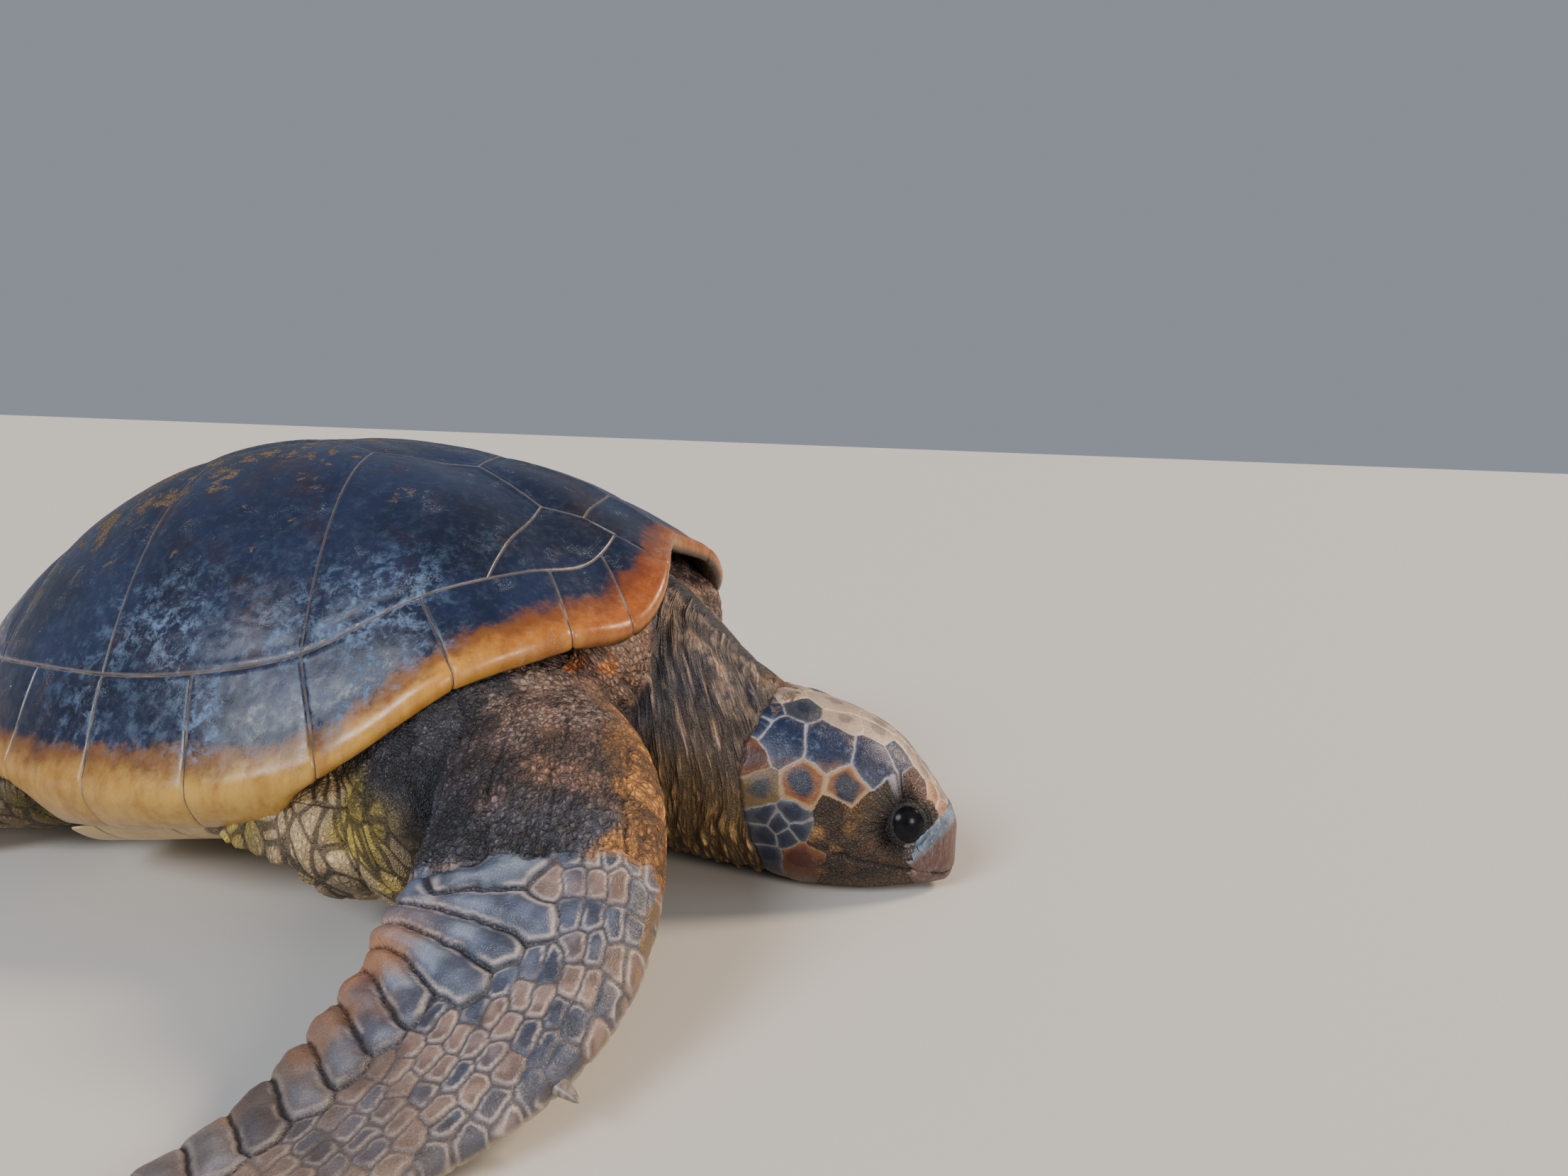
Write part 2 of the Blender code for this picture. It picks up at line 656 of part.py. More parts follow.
def rim_sections():
    """Cuts across the rim, all round from the nose to the left: border's share, its angle, rim angle."""
    cuts = []
    for index in range(12 * MARGINAL_STEPS + 1):
        number, step = divmod(index, MARGINAL_STEPS)
        after = min(number + 1, 12)
        inner = INNER_SEAMS[number] + (INNER_SEAMS[after] - INNER_SEAMS[number]) * step / MARGINAL_STEPS
        rim = RIM_SEAMS[number] + (RIM_SEAMS[after] - RIM_SEAMS[number]) * step / MARGINAL_STEPS
        cuts.append((MARGINAL_BORDER, inner, rim))
    half_way = (*disk(*VERTEBRAL_SEAMS[0]), RIM_SEAMS[0] / 2)
    middle = (*disk(NUCHAL_REAR_X, 0), 0)
    left = [half_way, *cuts]
    right = [(border, -inner, -rim) for border, inner, rim in reversed(left[:-1])]
    return [middle, *left, *right]


def shell_cutter():
    """A cap that fills the plates' place and all above it, grown by the clearance."""
    sections = rim_sections()
    rings = [[tilted(cutter_point(kind, *cut)) for cut in sections] for kind in range(13)]
    return helper(add_object("cutter_shell", *loft(rings, turned_from=len(sections) // 2)))


def cutter_point(kind, border, inner, rim):
    """One point of the cutter's outline: 0 to 3 above the plates, 4 to 8 below the rim, 9 to 12 inside."""
    side = 1 if rim >= 0 else -1
    clear = FLESH_CLEARANCE
    if kind < 4:
        rho, lift = ((0.02, 0.10), (0.6, 0.10), (1.0, 0.09), (1.12, 0.04))[kind]
        return (*plan(rho, rim), top_height(min(rho, 1), rim) + lift)
    if kind < 9:
        x, y, z = marginal_ring(abs(inner), abs(rim), border)[kind]
        grow = 1 + clear / HALF_WIDTH * (0, 0, 0, 0, 2, 0, -1.5, -1.5, 0)[kind]
        return x * grow, side * y * grow, z - clear * (0, 0, 0, 0, 0, 3, 1, 1, 1)[kind]
    if kind == 9:
        x, y = plan(border - 0.012, inner)
        return x, y, top_height(border, abs(inner)) - MARGINAL_THICKNESS * 0.9
    rho = (min(0.80, border - 0.03), 0.45, 0.02)[kind - 10]
    return (*plan(rho, inner), top_height(rho, inner) - PLATE_THICKNESS - clear * 8)


def soft_body():
    """All the flesh but the head and the flippers' blades, blended into one skin and clear of the shell."""
    forms = body_forms()
    whole = forms[0]
    bm = bmesh.new()
    for form in forms:
        bm.from_mesh(form.data)
    bm.to_mesh(whole.data)
    bm.free()
    remove(*forms[1:])
    remesh = whole.modifiers.new("blend", "REMESH")
    remesh.mode = "VOXEL"
    remesh.voxel_size = VOXEL
    smooth = whole.modifiers.new("soften", "SMOOTH")
    smooth.factor = 0.5
    smooth.iterations = 12
    lighter = whole.modifiers.new("lighten", "DECIMATE")
    lighter.ratio = 0.024
    apply_modifiers(whole)
    for cutter in (shell_cutter(), plastron("cutter_belly", FLESH_CLEARANCE)):
        boolean(whole, cutter, "DIFFERENCE")
        remove(cutter)
    keep_side(whole, (0, 0, 0), (0, 0, -1))
    return whole


def box(name, low, high):
    verts = [(x, y, z) for x in (low[0], high[0]) for y in (low[1], high[1]) for z in (low[2], high[2])]
    faces = [(0, 1, 3, 2), (4, 6, 7, 5), (0, 4, 5, 1), (2, 3, 7, 6), (0, 2, 6, 4), (1, 5, 7, 3)]
    return helper(add_object(name, verts, faces))


def part_body(whole, skin):
    """Parts the soft body into trunk, neck, upper arms, thighs and tail."""
    neck = whole.copy()
    neck.data = whole.data.copy()
    neck.name = "neck"
    bpy.context.scene.collection.objects.link(neck)
    inside = box("cutter_neck", (NECK_PLANE_X, -NECK_HALF_WIDTH, -1), (HEAD_PLANE_X, NECK_HALF_WIDTH, 1))
    boolean(neck, inside, "INTERSECT")
    grown = box(
        "cutter_neck_grown", (NECK_PLANE_X - CUT_GAP, -NECK_HALF_WIDTH - CUT_GAP, -1),
        (1, NECK_HALF_WIDTH + CUT_GAP, 1),
    )
    boolean(whole, grown, "DIFFERENCE")
    remove(inside, grown)
    pieces = [neck]
    for side, word in ((-1, "right"), (1, "left")):
        arm = part_off(whole, f"arm_{word}", (0.455, side * 0.205, 0.12), (0.55, side * 0.83, 0))
        elbow = fore_stations(side, ELBOW_SHARE, ELBOW_SHARE, 1)[0]
        along = elbow[3].cross(elbow[4]).normalized()
        if along.y * side < 0:
            along = -along
        keep_side(arm, elbow[0] - along * CUT_GAP / 2, along)
        pieces.append(arm)
        leg = part_off(whole, f"thigh_{word}", (-0.085, side * 0.200, 0.05), (-0.62, side * 0.78, 0))
        knee = hind_stations(side, 28)[14]
        along = knee[3].cross(knee[4]).normalized()
        if along.x > 0:
            along = -along
        keep_side(leg, knee[0] - along * CUT_GAP, along)
        pieces.append(leg)
    pieces.append(part_off(whole, "tail", (-0.165, 0, 0.03), (-1, 0, 0)))
    whole.name = "trunk"
    pieces.append(whole)
    for piece in pieces:
        piece.data.materials.clear()
        piece.data.materials.append(skin)
    return pieces


# --- Head -------------------------------------------------------------------------------------------

# Sections of the head: distance along, top, bottom, half width, height of the widest line.
HEAD_SECTIONS = (
    (HEAD_PLANE_X + CUT_GAP, 0.170, 0.006, 0.080, 0.085),
    (0.670, 0.166, -0.001, 0.083, 0.080),
    (0.700, 0.157, -0.002, 0.079, 0.074),
    (0.730, 0.146, -0.002, 0.069, 0.068),
    (0.757, 0.129, 0.001, 0.0565, 0.062),
    (0.779, 0.104, 0.004, 0.043, 0.056),
    (0.794, 0.084, 0.007, 0.031, 0.050),
    (0.803, 0.070, 0.011, 0.020, 0.045),
    (BEAK_X, 0.060, 0.020, 0.010, 0.040),
)
# Outlines, along and up, of the horny beak above and below the mouth.
BEAK_UPPER_SIDE = (
    (0.86, 0.0170), (0.725, 0.0375), (0.741, 0.0500),
    (0.778, 0.0560), (0.789, 0.0760), (0.86, 0.0900),
)
BEAK_LOWER_SIDE = (
    (0.86, 0.0164), (0.737, 0.0350), (0.757, 0.0120),
    (0.772, -0.030), (0.86, -0.030),
)


def head_form():
    """The whole head, beak included, resting its chin on the ground."""
    rings = []
    for x, top, bottom, wide, level in HEAD_SECTIONS:
        ring = []
        for i in range(20):
            turn = 2 * math.pi * i / 20
            u, v = math.cos(turn), math.sin(turn)
            u = math.copysign(abs(u) ** 0.88, u)
            v = math.copysign(abs(v) ** 0.88, v)
            reach = top - level if v > 0 else level - bottom
            ring.append((x, HEAD_Y + wide * u, level + reach * v))
        rings.append(ring)
    return add_object("head", *loft(rings))


def prism(name, outline, grow):
    """A prism across the head over an outline in the (along, up) plane, grown about its middle."""
    middle = np.mean(outline, axis=0)
    points = []
    for x, z in outline:
        away = np.array((x, z)) - middle
        points.append(np.array((x, z)) + away / np.linalg.norm(away) * grow)
    rings = [[(x, HEAD_Y + y, z) for x, z in points] for y in (-0.2, 0.2)]
    return helper(add_object(name, *loft(rings)))


def eyeball(name, side, radius):
    bm = bmesh.new()
    bmesh.ops.create_uvsphere(bm, u_segments=12, v_segments=8, radius=radius)
    bmesh.ops.rotate(bm, cent=(0, 0, 0), matrix=Matrix.Rotation(math.pi / 2, 3, "X"), verts=bm.verts)
    bmesh.ops.translate(bm, vec=(EYE_PLACE[0], HEAD_Y + side * EYE_PLACE[1], EYE_PLACE[2]), verts=bm.verts)
    mesh = bpy.data.meshes.new(name)
    bm.to_mesh(mesh)
    bm.free()
    mesh.shade_smooth()
    obj = bpy.data.objects.new(name, mesh)
    bpy.context.scene.collection.objects.link(obj)
    return obj


def head_pieces(skin, horn, dark):
    """Head, the two horny edges of the beak, and the eyes."""
    head = head_form()
    made = [head]
    for name, outline in (("beak_upper", BEAK_UPPER_SIDE), ("beak_lower", BEAK_LOWER_SIDE)):
        beak = head.copy()
        beak.data = head.data.copy()
        beak.name = name
        bpy.context.scene.collection.objects.link(beak)
        made.append(beak)
    for beak, outline in zip(made[1:], (BEAK_UPPER_SIDE, BEAK_LOWER_SIDE)):
        place = prism("cutter_beak", outline, 0)
        boolean(beak, place, "INTERSECT")
        grown = prism("cutter_beak_grown", outline, 2 * CUT_GAP)
        boolean(head, grown, "DIFFERENCE")
        remove(place, grown)
        beak.data.materials.clear()
        beak.data.materials.append(horn)
    head.data.materials.clear()
    head.data.materials.append(skin)
    for side, word in ((-1, "right"), (1, "left")):
        socket = helper(eyeball("cutter_eye", side, EYE_RADIUS + CUT_GAP))
        boolean(head, socket, "DIFFERENCE")
        boolean(made[1], socket, "DIFFERENCE")
        remove(socket)
        eye = eyeball(f"eye_{word}", side, EYE_RADIUS)
        eye.data.materials.append(dark)
    keep_side(head, (0, 0, 0), (0, 0, -1))


# --- Flippers ---------------------------------------------------------------------------------------


def blade_rings(stations, around=14, power=0.8):
    """Rings of a flipper's blade: flat, with a full leading edge and a thin trailing one."""
    rings = []
    for centre, wide, thick, across, up in stations:
        ring = []
        for i in range(around):
            turn = 2 * math.pi * i / around
            u, v = math.cos(turn), math.sin(turn)
            fullness = 1 + BLADE_LEAD * u
            rise = math.copysign(abs(v) ** power, v) * fullness
            ring.append(centre + across * (wide * u) + up * (thick * rise))
        rings.append(ring)
    return rings


def on_ground(obj):
    """Cuts away whatever lies below the ground."""
    return keep_side(obj, (0, 0, 0), (0, 0, -1))


def fore_flipper(side, word, skin, horn):
    """The flipper from the elbow down, with its claw on the leading edge."""
    stations = fore_stations(side, ELBOW_SHARE, 1.0, 12)
    centre, wide, thick, across, up = stations[0]
    along = (stations[1][0] - centre).normalized()
    along = (along - across * along.dot(across) - up * along.dot(up)).normalized()
    stations[0] = (centre + along * CUT_GAP / 2, wide, thick, across, up)
    blade = add_object(f"fore_flipper_{word}", *loft(blade_rings(stations)), skin)
    on_ground(blade)
    edge = []
    for centre, wide, _, across, _ in stations[CLAW_STATION - 1 : CLAW_STATION + 2]:
        edge.append(centre + across * math.copysign(wide, across.x))
    ahead = (edge[2] - edge[0]).normalized()
    out = edge[1] - stations[CLAW_STATION][0]
    out = (out - ahead * out.dot(ahead)).normalized()
    claw(f"claw_{word}", edge[1] + out * 0.0012, out, ahead, horn)


def claw(name, root, towards, bend, finish):
    """A small blunt claw: rings along a slight curve."""
    towards = towards.normalized()
    side = towards.cross(bend).normalized()
    over = side.cross(towards).normalized()
    rings = []
    for share, radius in ((0, 0.0050), (0.35, 0.0046), (0.7, 0.0032), (0.92, 0.0016), (1, 0.0006)):
        middle = root + towards * (CLAW_LENGTH * share) + bend * (0.003 * share**2)
        turns = [2 * math.pi * i / 8 for i in range(8)]
        rings.append([middle + side * (radius * math.cos(t)) + over * (radius * math.sin(t)) for t in turns])
    return add_object(name, *loft(rings), finish)


def hind_flipper(side, word, skin):
    stations = hind_stations(side, 28)
    blade = add_object(f"hind_flipper_{word}", *loft(blade_rings(stations[14::2])), skin)
    return on_ground(blade)


def main():
    clear_scene()
    dark = material("shell_dark", SHELL_DARK, 0.35)
    amber = material("shell_amber", HORN_AMBER, 0.35)
    skin = material("skin", SKIN, 0.7)
    belly = material("belly_shell", BELLY, 0.5)
    horn = material("horn", HORN_GREY, 0.4)
    eye = material("eye", EYE, 0.05)
    carapace(dark, amber)
    plastron("plastron", 0, belly)
    part_body(soft_body(), skin)
    head_pieces(skin, horn, eye)
    for side, word in ((-1, "right"), (1, "left")):
        fore_flipper(side, word, skin, horn)
        hind_flipper(side, word, skin)
    for obj in bpy.context.scene.objects:
        obj.data.transform(Matrix.Translation((GROUND_X - REST_X, 0, 0)))


main()
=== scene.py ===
"""The loggerhead turtle's looks: fine shell plates, one unbroken skin, eyes, beak and claws.

Everything is in the row frame: metres, +X to the head, +Y to the turtle's left, +Z up, with the origin
in the middle of the belly's resting flat. The shell is shaped level, in its own frame, then tilted nose up.
"""
import math

import bmesh
import bpy
import numpy as np
from mathutils import Matrix, Vector


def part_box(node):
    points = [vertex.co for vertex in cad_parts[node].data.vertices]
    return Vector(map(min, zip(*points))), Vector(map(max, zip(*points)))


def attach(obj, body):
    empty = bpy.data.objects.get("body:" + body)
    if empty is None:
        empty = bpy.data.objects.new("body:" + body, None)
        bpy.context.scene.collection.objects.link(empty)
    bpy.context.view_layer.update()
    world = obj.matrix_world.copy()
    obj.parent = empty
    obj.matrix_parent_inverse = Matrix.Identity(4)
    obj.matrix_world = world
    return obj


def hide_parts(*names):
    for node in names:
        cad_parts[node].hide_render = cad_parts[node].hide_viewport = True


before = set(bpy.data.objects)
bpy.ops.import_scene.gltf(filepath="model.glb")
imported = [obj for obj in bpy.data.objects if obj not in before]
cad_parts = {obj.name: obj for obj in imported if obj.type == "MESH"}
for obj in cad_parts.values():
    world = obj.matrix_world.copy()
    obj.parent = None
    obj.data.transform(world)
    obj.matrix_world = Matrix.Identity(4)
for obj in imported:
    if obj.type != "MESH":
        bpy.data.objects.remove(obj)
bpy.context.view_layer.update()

FINE = 1.0
SIDES = ((-1, "right"), (1, "left"))

# Shell form, as in the solids.
LENGTH = 0.80
HALF_LENGTH = LENGTH / 2
HALF_WIDTH = 0.389 * LENGTH
DEPTH = 0.4375 * LENGTH
FRONT_BROADER = 0.156
REAR_TAPER = 0.16
NOTCH_DEPTH = 0.0975
NOTCH_SPREAD = 12.5
NOTCH_ROUNDS = 24
SQUARENESS = 2.48
REAR_SOFTER = 0.55
FRONT_SOFTER = 0.60
DOME_FALL = 0.94
NOSE_UP = math.radians(7.2)
REST_X = -0.27
FLAT_DEPTH = 0.0015
RIM_ANGLES = (0, 12, 24, 35, 50, 68, 85, 115, 150, 180)
RIM_HEIGHTS = (0.229, 0.206, 0.168, 0.168, 0.152, 0.096, 0.084, 0.104, 0.117, 0.105)
RIM_SEAMS = (11.6, 24.5, 34.5, 50, 66.5, 82, 96, 110, 123, 135.5, 147.5, 160.5, 180)
INNER_SEAMS = (14.2, 19.8, 31, 51, 67.5, 82.5, 97, 111, 124, 136.5, 148.5, 161.5, 180)
BORDER = 0.87
MARGINAL_THICK = 0.016
NUCHAL_REAR_X = 0.302
VERTEBRAL_SEAMS = ((NUCHAL_REAR_X, 0.072), (0.196, 0.047), (0.034, 0.045), (-0.120, 0.042), (-0.262, 0.036))
VERTEBRAL_CORNERS = ((0.266, 0.080), (0.112, 0.082), (-0.046, 0.078), (-0.194, 0.068))
# Where on the marginals' inner border each costal plate starts, and the last one ends, in half marginals.
COSTAL_STARTS = (0, 5, 8, 12, 16, 22)
BELLY_TURN_X = -0.15
BELLY_ROUND = math.tan(NOSE_UP) / (2 * (BELLY_TURN_X - REST_X))
BELLY_TOP = 0.034
BELLY_FRONT = 0.285
BELLY_REAR = -0.325
BRIDGE_FRONT = 0.150
BRIDGE_REAR = -0.125
BRIDGE_BORDER = 0.885
BRIDGE_FOOT = 0.048

# Fine work on the plates.
PLATE_STEP = 0.0022 * FINE
SEAM_HALF = 0.00030
SEAM_DEPTH = 0.0013
SKIRT_DEPTH = 0.0045
ROUND_DEPTH = 0.0013
ROUND_REACH = 0.0011
# Points round a marginal's cut, and the one on its top that sets the scale of the distance to its border.
RIM_POINTS = 54
TOP_POINT = 20
RIM_RADIUS = 0.36
SEAM_TURN = math.degrees(SEAM_HALF / RIM_RADIUS)

# Flesh.
HEAD_Y = -0.045
EYE_RADIUS = 0.0185
EYE = (0.8355, 0.0375, 0.0665)
EYE_OUT = (0.36, 0.92, 0.16)
EYE_UP = (-0.28, 0.0, 1.0)
# Half angles of the opening between the lids, from the middle of the eyeball.
OPENING_WIDE = math.radians(56)
OPENING_TALL = math.radians(66)
EYE_FLATNESS = 0.80
EYE_CLEAR = 0.0012
LID_HOLLOW = 0.0020
LID_THICK = 0.0026
VOXEL = 0.0034 * FINE
FLOOR_GAP = 0.0004
FAR = 9.0


# --- Noise and sums ---------------------------------------------------------------------------------


def hashed(i, j, k, seed=0):
    """A repeatable number from 0 to 1 for each whole-number cell."""
    n = i.astype(np.int64) * 374761393 + j.astype(np.int64) * 668265263
    n = n + k.astype(np.int64) * 1440662683 + seed * 1013904223
    n = (n ^ (n >> 13)) * 1274126177 & 0xFFFFFFFF
    n = (n ^ (n >> 16)) * 2246822519 & 0xFFFFFFFF
    return (n ^ (n >> 15)).astype(np.float64) / 4294967296.0


def noise(p, scale, seed=0, octaves=1):
    """Smooth noise about 0, from -1 to 1, with features scale metres across."""
    total = np.zeros(len(p))
    for octave in range(octaves):
        q = p / (scale / 2**octave) + 17.3 * octave
        base = np.floor(q).astype(np.int64)
        f = q - base
        f = f * f * f * (f * (f * 6 - 15) + 10)
        value = np.zeros(len(p))
        for dx, dy, dz in np.ndindex(2, 2, 2):
            w = np.abs(1 - dx - f[:, 0]) * np.abs(1 - dy - f[:, 1]) * np.abs(1 - dz - f[:, 2])
            value += w * hashed(base[:, 0] + dx, base[:, 1] + dy, base[:, 2] + dz, seed + octave)
        total += 0.5**octave * (2 * value - 1)
    return total


def wander(p, scale, seed, axes=3):
    """Smooth noise along several axes at once."""
    return np.stack([noise(p, scale, seed + axis, 2) for axis in range(axes)], -1)


def nearer_two(first, second, number, away, mine):
    """The two least distances so far, and the number of the nearest, with one more seed looked at."""
    nearer = away < first
    second = np.where(nearer, first, np.minimum(second, away))
    return np.where(nearer, away, first), second, np.where(nearer, mine, number)


def cells(p, size, seed=0):
    """Cell pattern: distance to the nearest border, as a share of a cell's size, and a number per cell."""
    q = p / np.asarray(size)
    base = np.floor(q).astype(np.int64)
    first, second, ident = np.full(len(p), FAR), np.full(len(p), FAR), np.zeros(len(p))
    for shift in np.ndindex(3, 3, 3):
        cell = [base[:, axis] + shift[axis] - 1 for axis in range(3)]
        centre = np.stack([cell[axis] + hashed(*cell, seed + axis) for axis in range(3)], -1)
        away = np.sqrt(((q - centre) ** 2).sum(1))
        first, second, ident = nearer_two(first, second, ident, away, hashed(*cell, seed + 3))
    return (second - first) / 2, ident


def from_segment(q, a, b):
    """Distance from points to a segment, and the share along it of the nearest place."""
    ab = b - a
    t = np.clip(((q - a) @ ab) / max(float(ab @ ab), 1e-12), 0, 1)
    return np.linalg.norm(q - a - t[..., None] * ab, axis=-1), t


def plates_by_seeds(q, seeds, weights):
    """For points and segment seeds: distance to the nearest border, and the nearest seed's number."""
    first, second, number = np.full(len(q), FAR), np.full(len(q), FAR), np.zeros(len(q), int)
    half = seeds.shape[1] // 2
    for i, (seed, weight) in enumerate(zip(seeds, weights)):
        away = from_segment(q, seed[:half], seed[half:])[0] - weight
        first, second, number = nearer_two(first, second, number, away, i)
    return (second - first) / 2, number


def line_distance(q, line):
    """Least distance from each plane point to a polyline."""
    return np.min([from_segment(q, a, b)[0] for a, b in zip(line, line[1:])], axis=0)


def step(low, high, x):
    t = np.clip((np.asarray(x, float) - low) / (high - low), 0, 1)
    return t * t * (3 - 2 * t)


def hill(x, width):
    """A smooth hill of height 1 about 0."""
    return np.exp(-((x / width) ** 2))


def between(a, b, share):
    return a * (1 - share) + b * share


def tinted(under, over, share):
    """A tone or tones over others, by a share for each point."""
    return between(np.asarray(under), np.asarray(over), share[:, None])


def unit(v):
    return v / np.maximum(np.linalg.norm(v, axis=-1, keepdims=True), 1e-12)


def circle(count):
    """Cosines and sines all the way round."""
    turn = np.linspace(0, 2 * np.pi, count, endpoint=False)
    return np.cos(turn), np.sin(turn)


def smooth_values(knots, values, at):
    """Values on a smooth curve through (knot, value) pairs, for an array of places."""
    knots, values, at = (np.asarray(a, float) for a in (knots, values, at))
    slopes = np.gradient(values, knots, axis=0)
    i = np.clip(np.searchsorted(knots, at) - 1, 0, len(knots) - 2)
    span = knots[i + 1] - knots[i]
    t = (at - knots[i]) / span
    if values.ndim > 1:
        t, span = t[..., None], span[..., None]
    return (
        (2 * t**3 - 3 * t**2 + 1) * values[i]
        + (t**3 - 2 * t**2 + t) * span * slopes[i]
        + (3 * t**2 - 2 * t**3) * values[i + 1]
        + (t**3 - t**2) * span * slopes[i + 1]
    )


# --- Shell form -------------------------------------------------------------------------------------


def breadth(along):
    return 1 + FRONT_BROADER * along - REAR_TAPER * np.maximum(-along - 0.15, 0) ** 2


def plan(rho, angle):
    """Plan position at a share rho from the centre to the rim, at an angle in degrees from the nose."""
    along = rho * np.cos(np.radians(angle))
    across = rho * np.sin(np.radians(angle))
    return np.stack([HALF_LENGTH * (along - notch(rho, angle)), HALF_WIDTH * across * breadth(along)], -1)


def notch(rho, angle):
    """How far back the plan is drawn over the neck, as a share of the half length."""
    return NOTCH_DEPTH * rho**3 * hill(np.asarray(angle), NOTCH_SPREAD)


def disk(xy):
    """Share and angle of plan positions: plan() turned round, by closing in on them."""
    along = xy[..., 0] / HALF_LENGTH
    for _ in range(NOTCH_ROUNDS):
        across = xy[..., 1] / (HALF_WIDTH * breadth(along))
        rho, angle = np.hypot(along, across), np.degrees(np.arctan2(across, along))
        along = xy[..., 0] / HALF_LENGTH + notch(np.minimum(rho, 1.2), angle)
    return rho, angle


def rim_height(angle):
    return smooth_values(RIM_ANGLES, RIM_HEIGHTS, np.abs(angle))


def top_height(rho, angle):
    rim = rim_height(angle)
    squareness = SQUARENESS - REAR_SOFTER * step(80, 180, np.abs(angle))
    squareness = squareness - FRONT_SOFTER * step(70, 0, np.abs(angle))
    return rim + (DEPTH - rim) * np.maximum(1 - rho**squareness, 0) ** DOME_FALL


REST_HEIGHT = BELLY_ROUND * (BELLY_TURN_X - REST_X) ** 2
TILT = np.array(Matrix.Rotation(-NOSE_UP, 3, "Y"))
REST_POINT = np.array((REST_X, 0, REST_HEIGHT))
FLAT_DROP = np.array((0, 0, FLAT_DEPTH))


def tilted(p):
    """From the shell's level frame to the row frame."""
    return (p - REST_POINT) @ TILT.T - FLAT_DROP


def level(p):
    """tilted() turned round."""
    return (p + FLAT_DROP) @ TILT + REST_POINT


def along_bridge(x, soft):
    """How far a place along the shell lies between the bridge's front and rear."""
    behind_front = step(BRIDGE_FRONT + soft, BRIDGE_FRONT - soft, x)
    return behind_front * step(BRIDGE_REAR - soft, BRIDGE_REAR + soft, x)


# --- Meshes -----------------------------------------------------------------------------------------


def add_object(name, verts, faces, finish=None):
    mesh = bpy.data.meshes.new(name)
    verts = np.asarray(verts, np.float32).reshape(-1, 3)
    faces = np.asarray(faces, np.int32)
    mesh.vertices.add(len(verts))
    mesh.vertices.foreach_set("co", verts.ravel())
    corners = faces.shape[1]
    mesh.loops.add(faces.size)
    mesh.loops.foreach_set("vertex_index", faces.ravel())
    mesh.polygons.add(len(faces))
    mesh.polygons.foreach_set("loop_start", np.arange(0, faces.size, corners, dtype=np.int32))
    mesh.polygons.foreach_set("loop_total", np.full(len(faces), corners, np.int32))
    mesh.update(calc_edges=True)
    mesh.validate()
    mesh.shade_smooth()
    obj = bpy.data.objects.new(name, mesh)
    bpy.context.scene.collection.objects.link(obj)
    if finish:
        mesh.materials.append(finish)
    return obj


def face_out(obj, caps=()):
    """Closes the named rings of points, and turns all faces outwards."""
    bm = bmesh.new()
    bm.from_mesh(obj.data)
    bm.verts.ensure_lookup_table()
    for cap in caps:
        bm.faces.new([bm.verts[i] for i in cap])
    bmesh.ops.recalc_face_normals(bm, faces=bm.faces)
    bm.to_mesh(obj.data)
    bm.free()


def keep(piece, slot, *nodes):
    """Hangs a piece on the body, in place of the solids that it stands for. The material slot is not used.
    """
    if nodes:
        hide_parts(*nodes)
    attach(piece, "root")


def set_values(obj, name, values, kind="FLOAT"):
    """Writes a number, colour or vector for each point, under the name that a material reads."""
    field = {"FLOAT": "value", "FLOAT_COLOR": "color", "FLOAT_VECTOR": "vector"}[kind]
    values = np.asarray(values, np.float32)
    if kind == "FLOAT_COLOR":
        values = np.concatenate([np.clip(values, 0, 1), np.ones((len(values), 1), np.float32)], 1)
    layer = obj.data.attributes.new(name, kind, "POINT")
    layer.data.foreach_set(field, values.ravel())


def grid_faces(rows, columns, closed=False):
    r, c = np.meshgrid(np.arange(rows - 1), np.arange(columns if closed else columns - 1), indexing="ij")
    here, beside = (r * columns + c).ravel(), (r * columns + (c + 1) % columns).ravel()
    return np.stack([here, beside, beside + columns, here + columns], -1)


def grid_normals(points):
    """Unit normals of a grid of points."""
    n = unit(np.cross(np.gradient(points, axis=1), np.gradient(points, axis=0)))
    return n * np.sign(n[..., 2:3].mean() if abs(n[..., 2].mean()) > 0.05 else 1)


def ring_normals(rings):
    """Unit normals of a grid of rings, away from each ring's middle."""
    n = grid_normals(rings)
    return n * np.sign((n * (rings - rings.mean(axis=1, keepdims=True))).sum(-1, keepdims=True))


def closed_form(rings):
    """Vertices and triangles of a closed skin over rings, with a point in the middle of each end."""
    rings = np.asarray(rings)
    count, around = rings.shape[:2]
    verts = np.concatenate([rings.reshape(-1, 3), rings[0].mean(0)[None], rings[-1].mean(0)[None]])
    quads = grid_faces(count, around, True)
    ring = np.arange(around)
    after = (ring + 1) % around
    base = (count - 1) * around
    first = np.stack([after, ring, np.full(around, count * around)], -1)
    last = np.stack([base + ring, base + after, np.full(around, count * around + 1)], -1)
    return verts, np.concatenate([quads[:, (0, 1, 2)], quads[:, (0, 2, 3)], first, last])


# --- Materials --------------------------------------------------------------------------------------

MIX_INPUTS = (0, 6, 7)
MIX_RESULT = 2


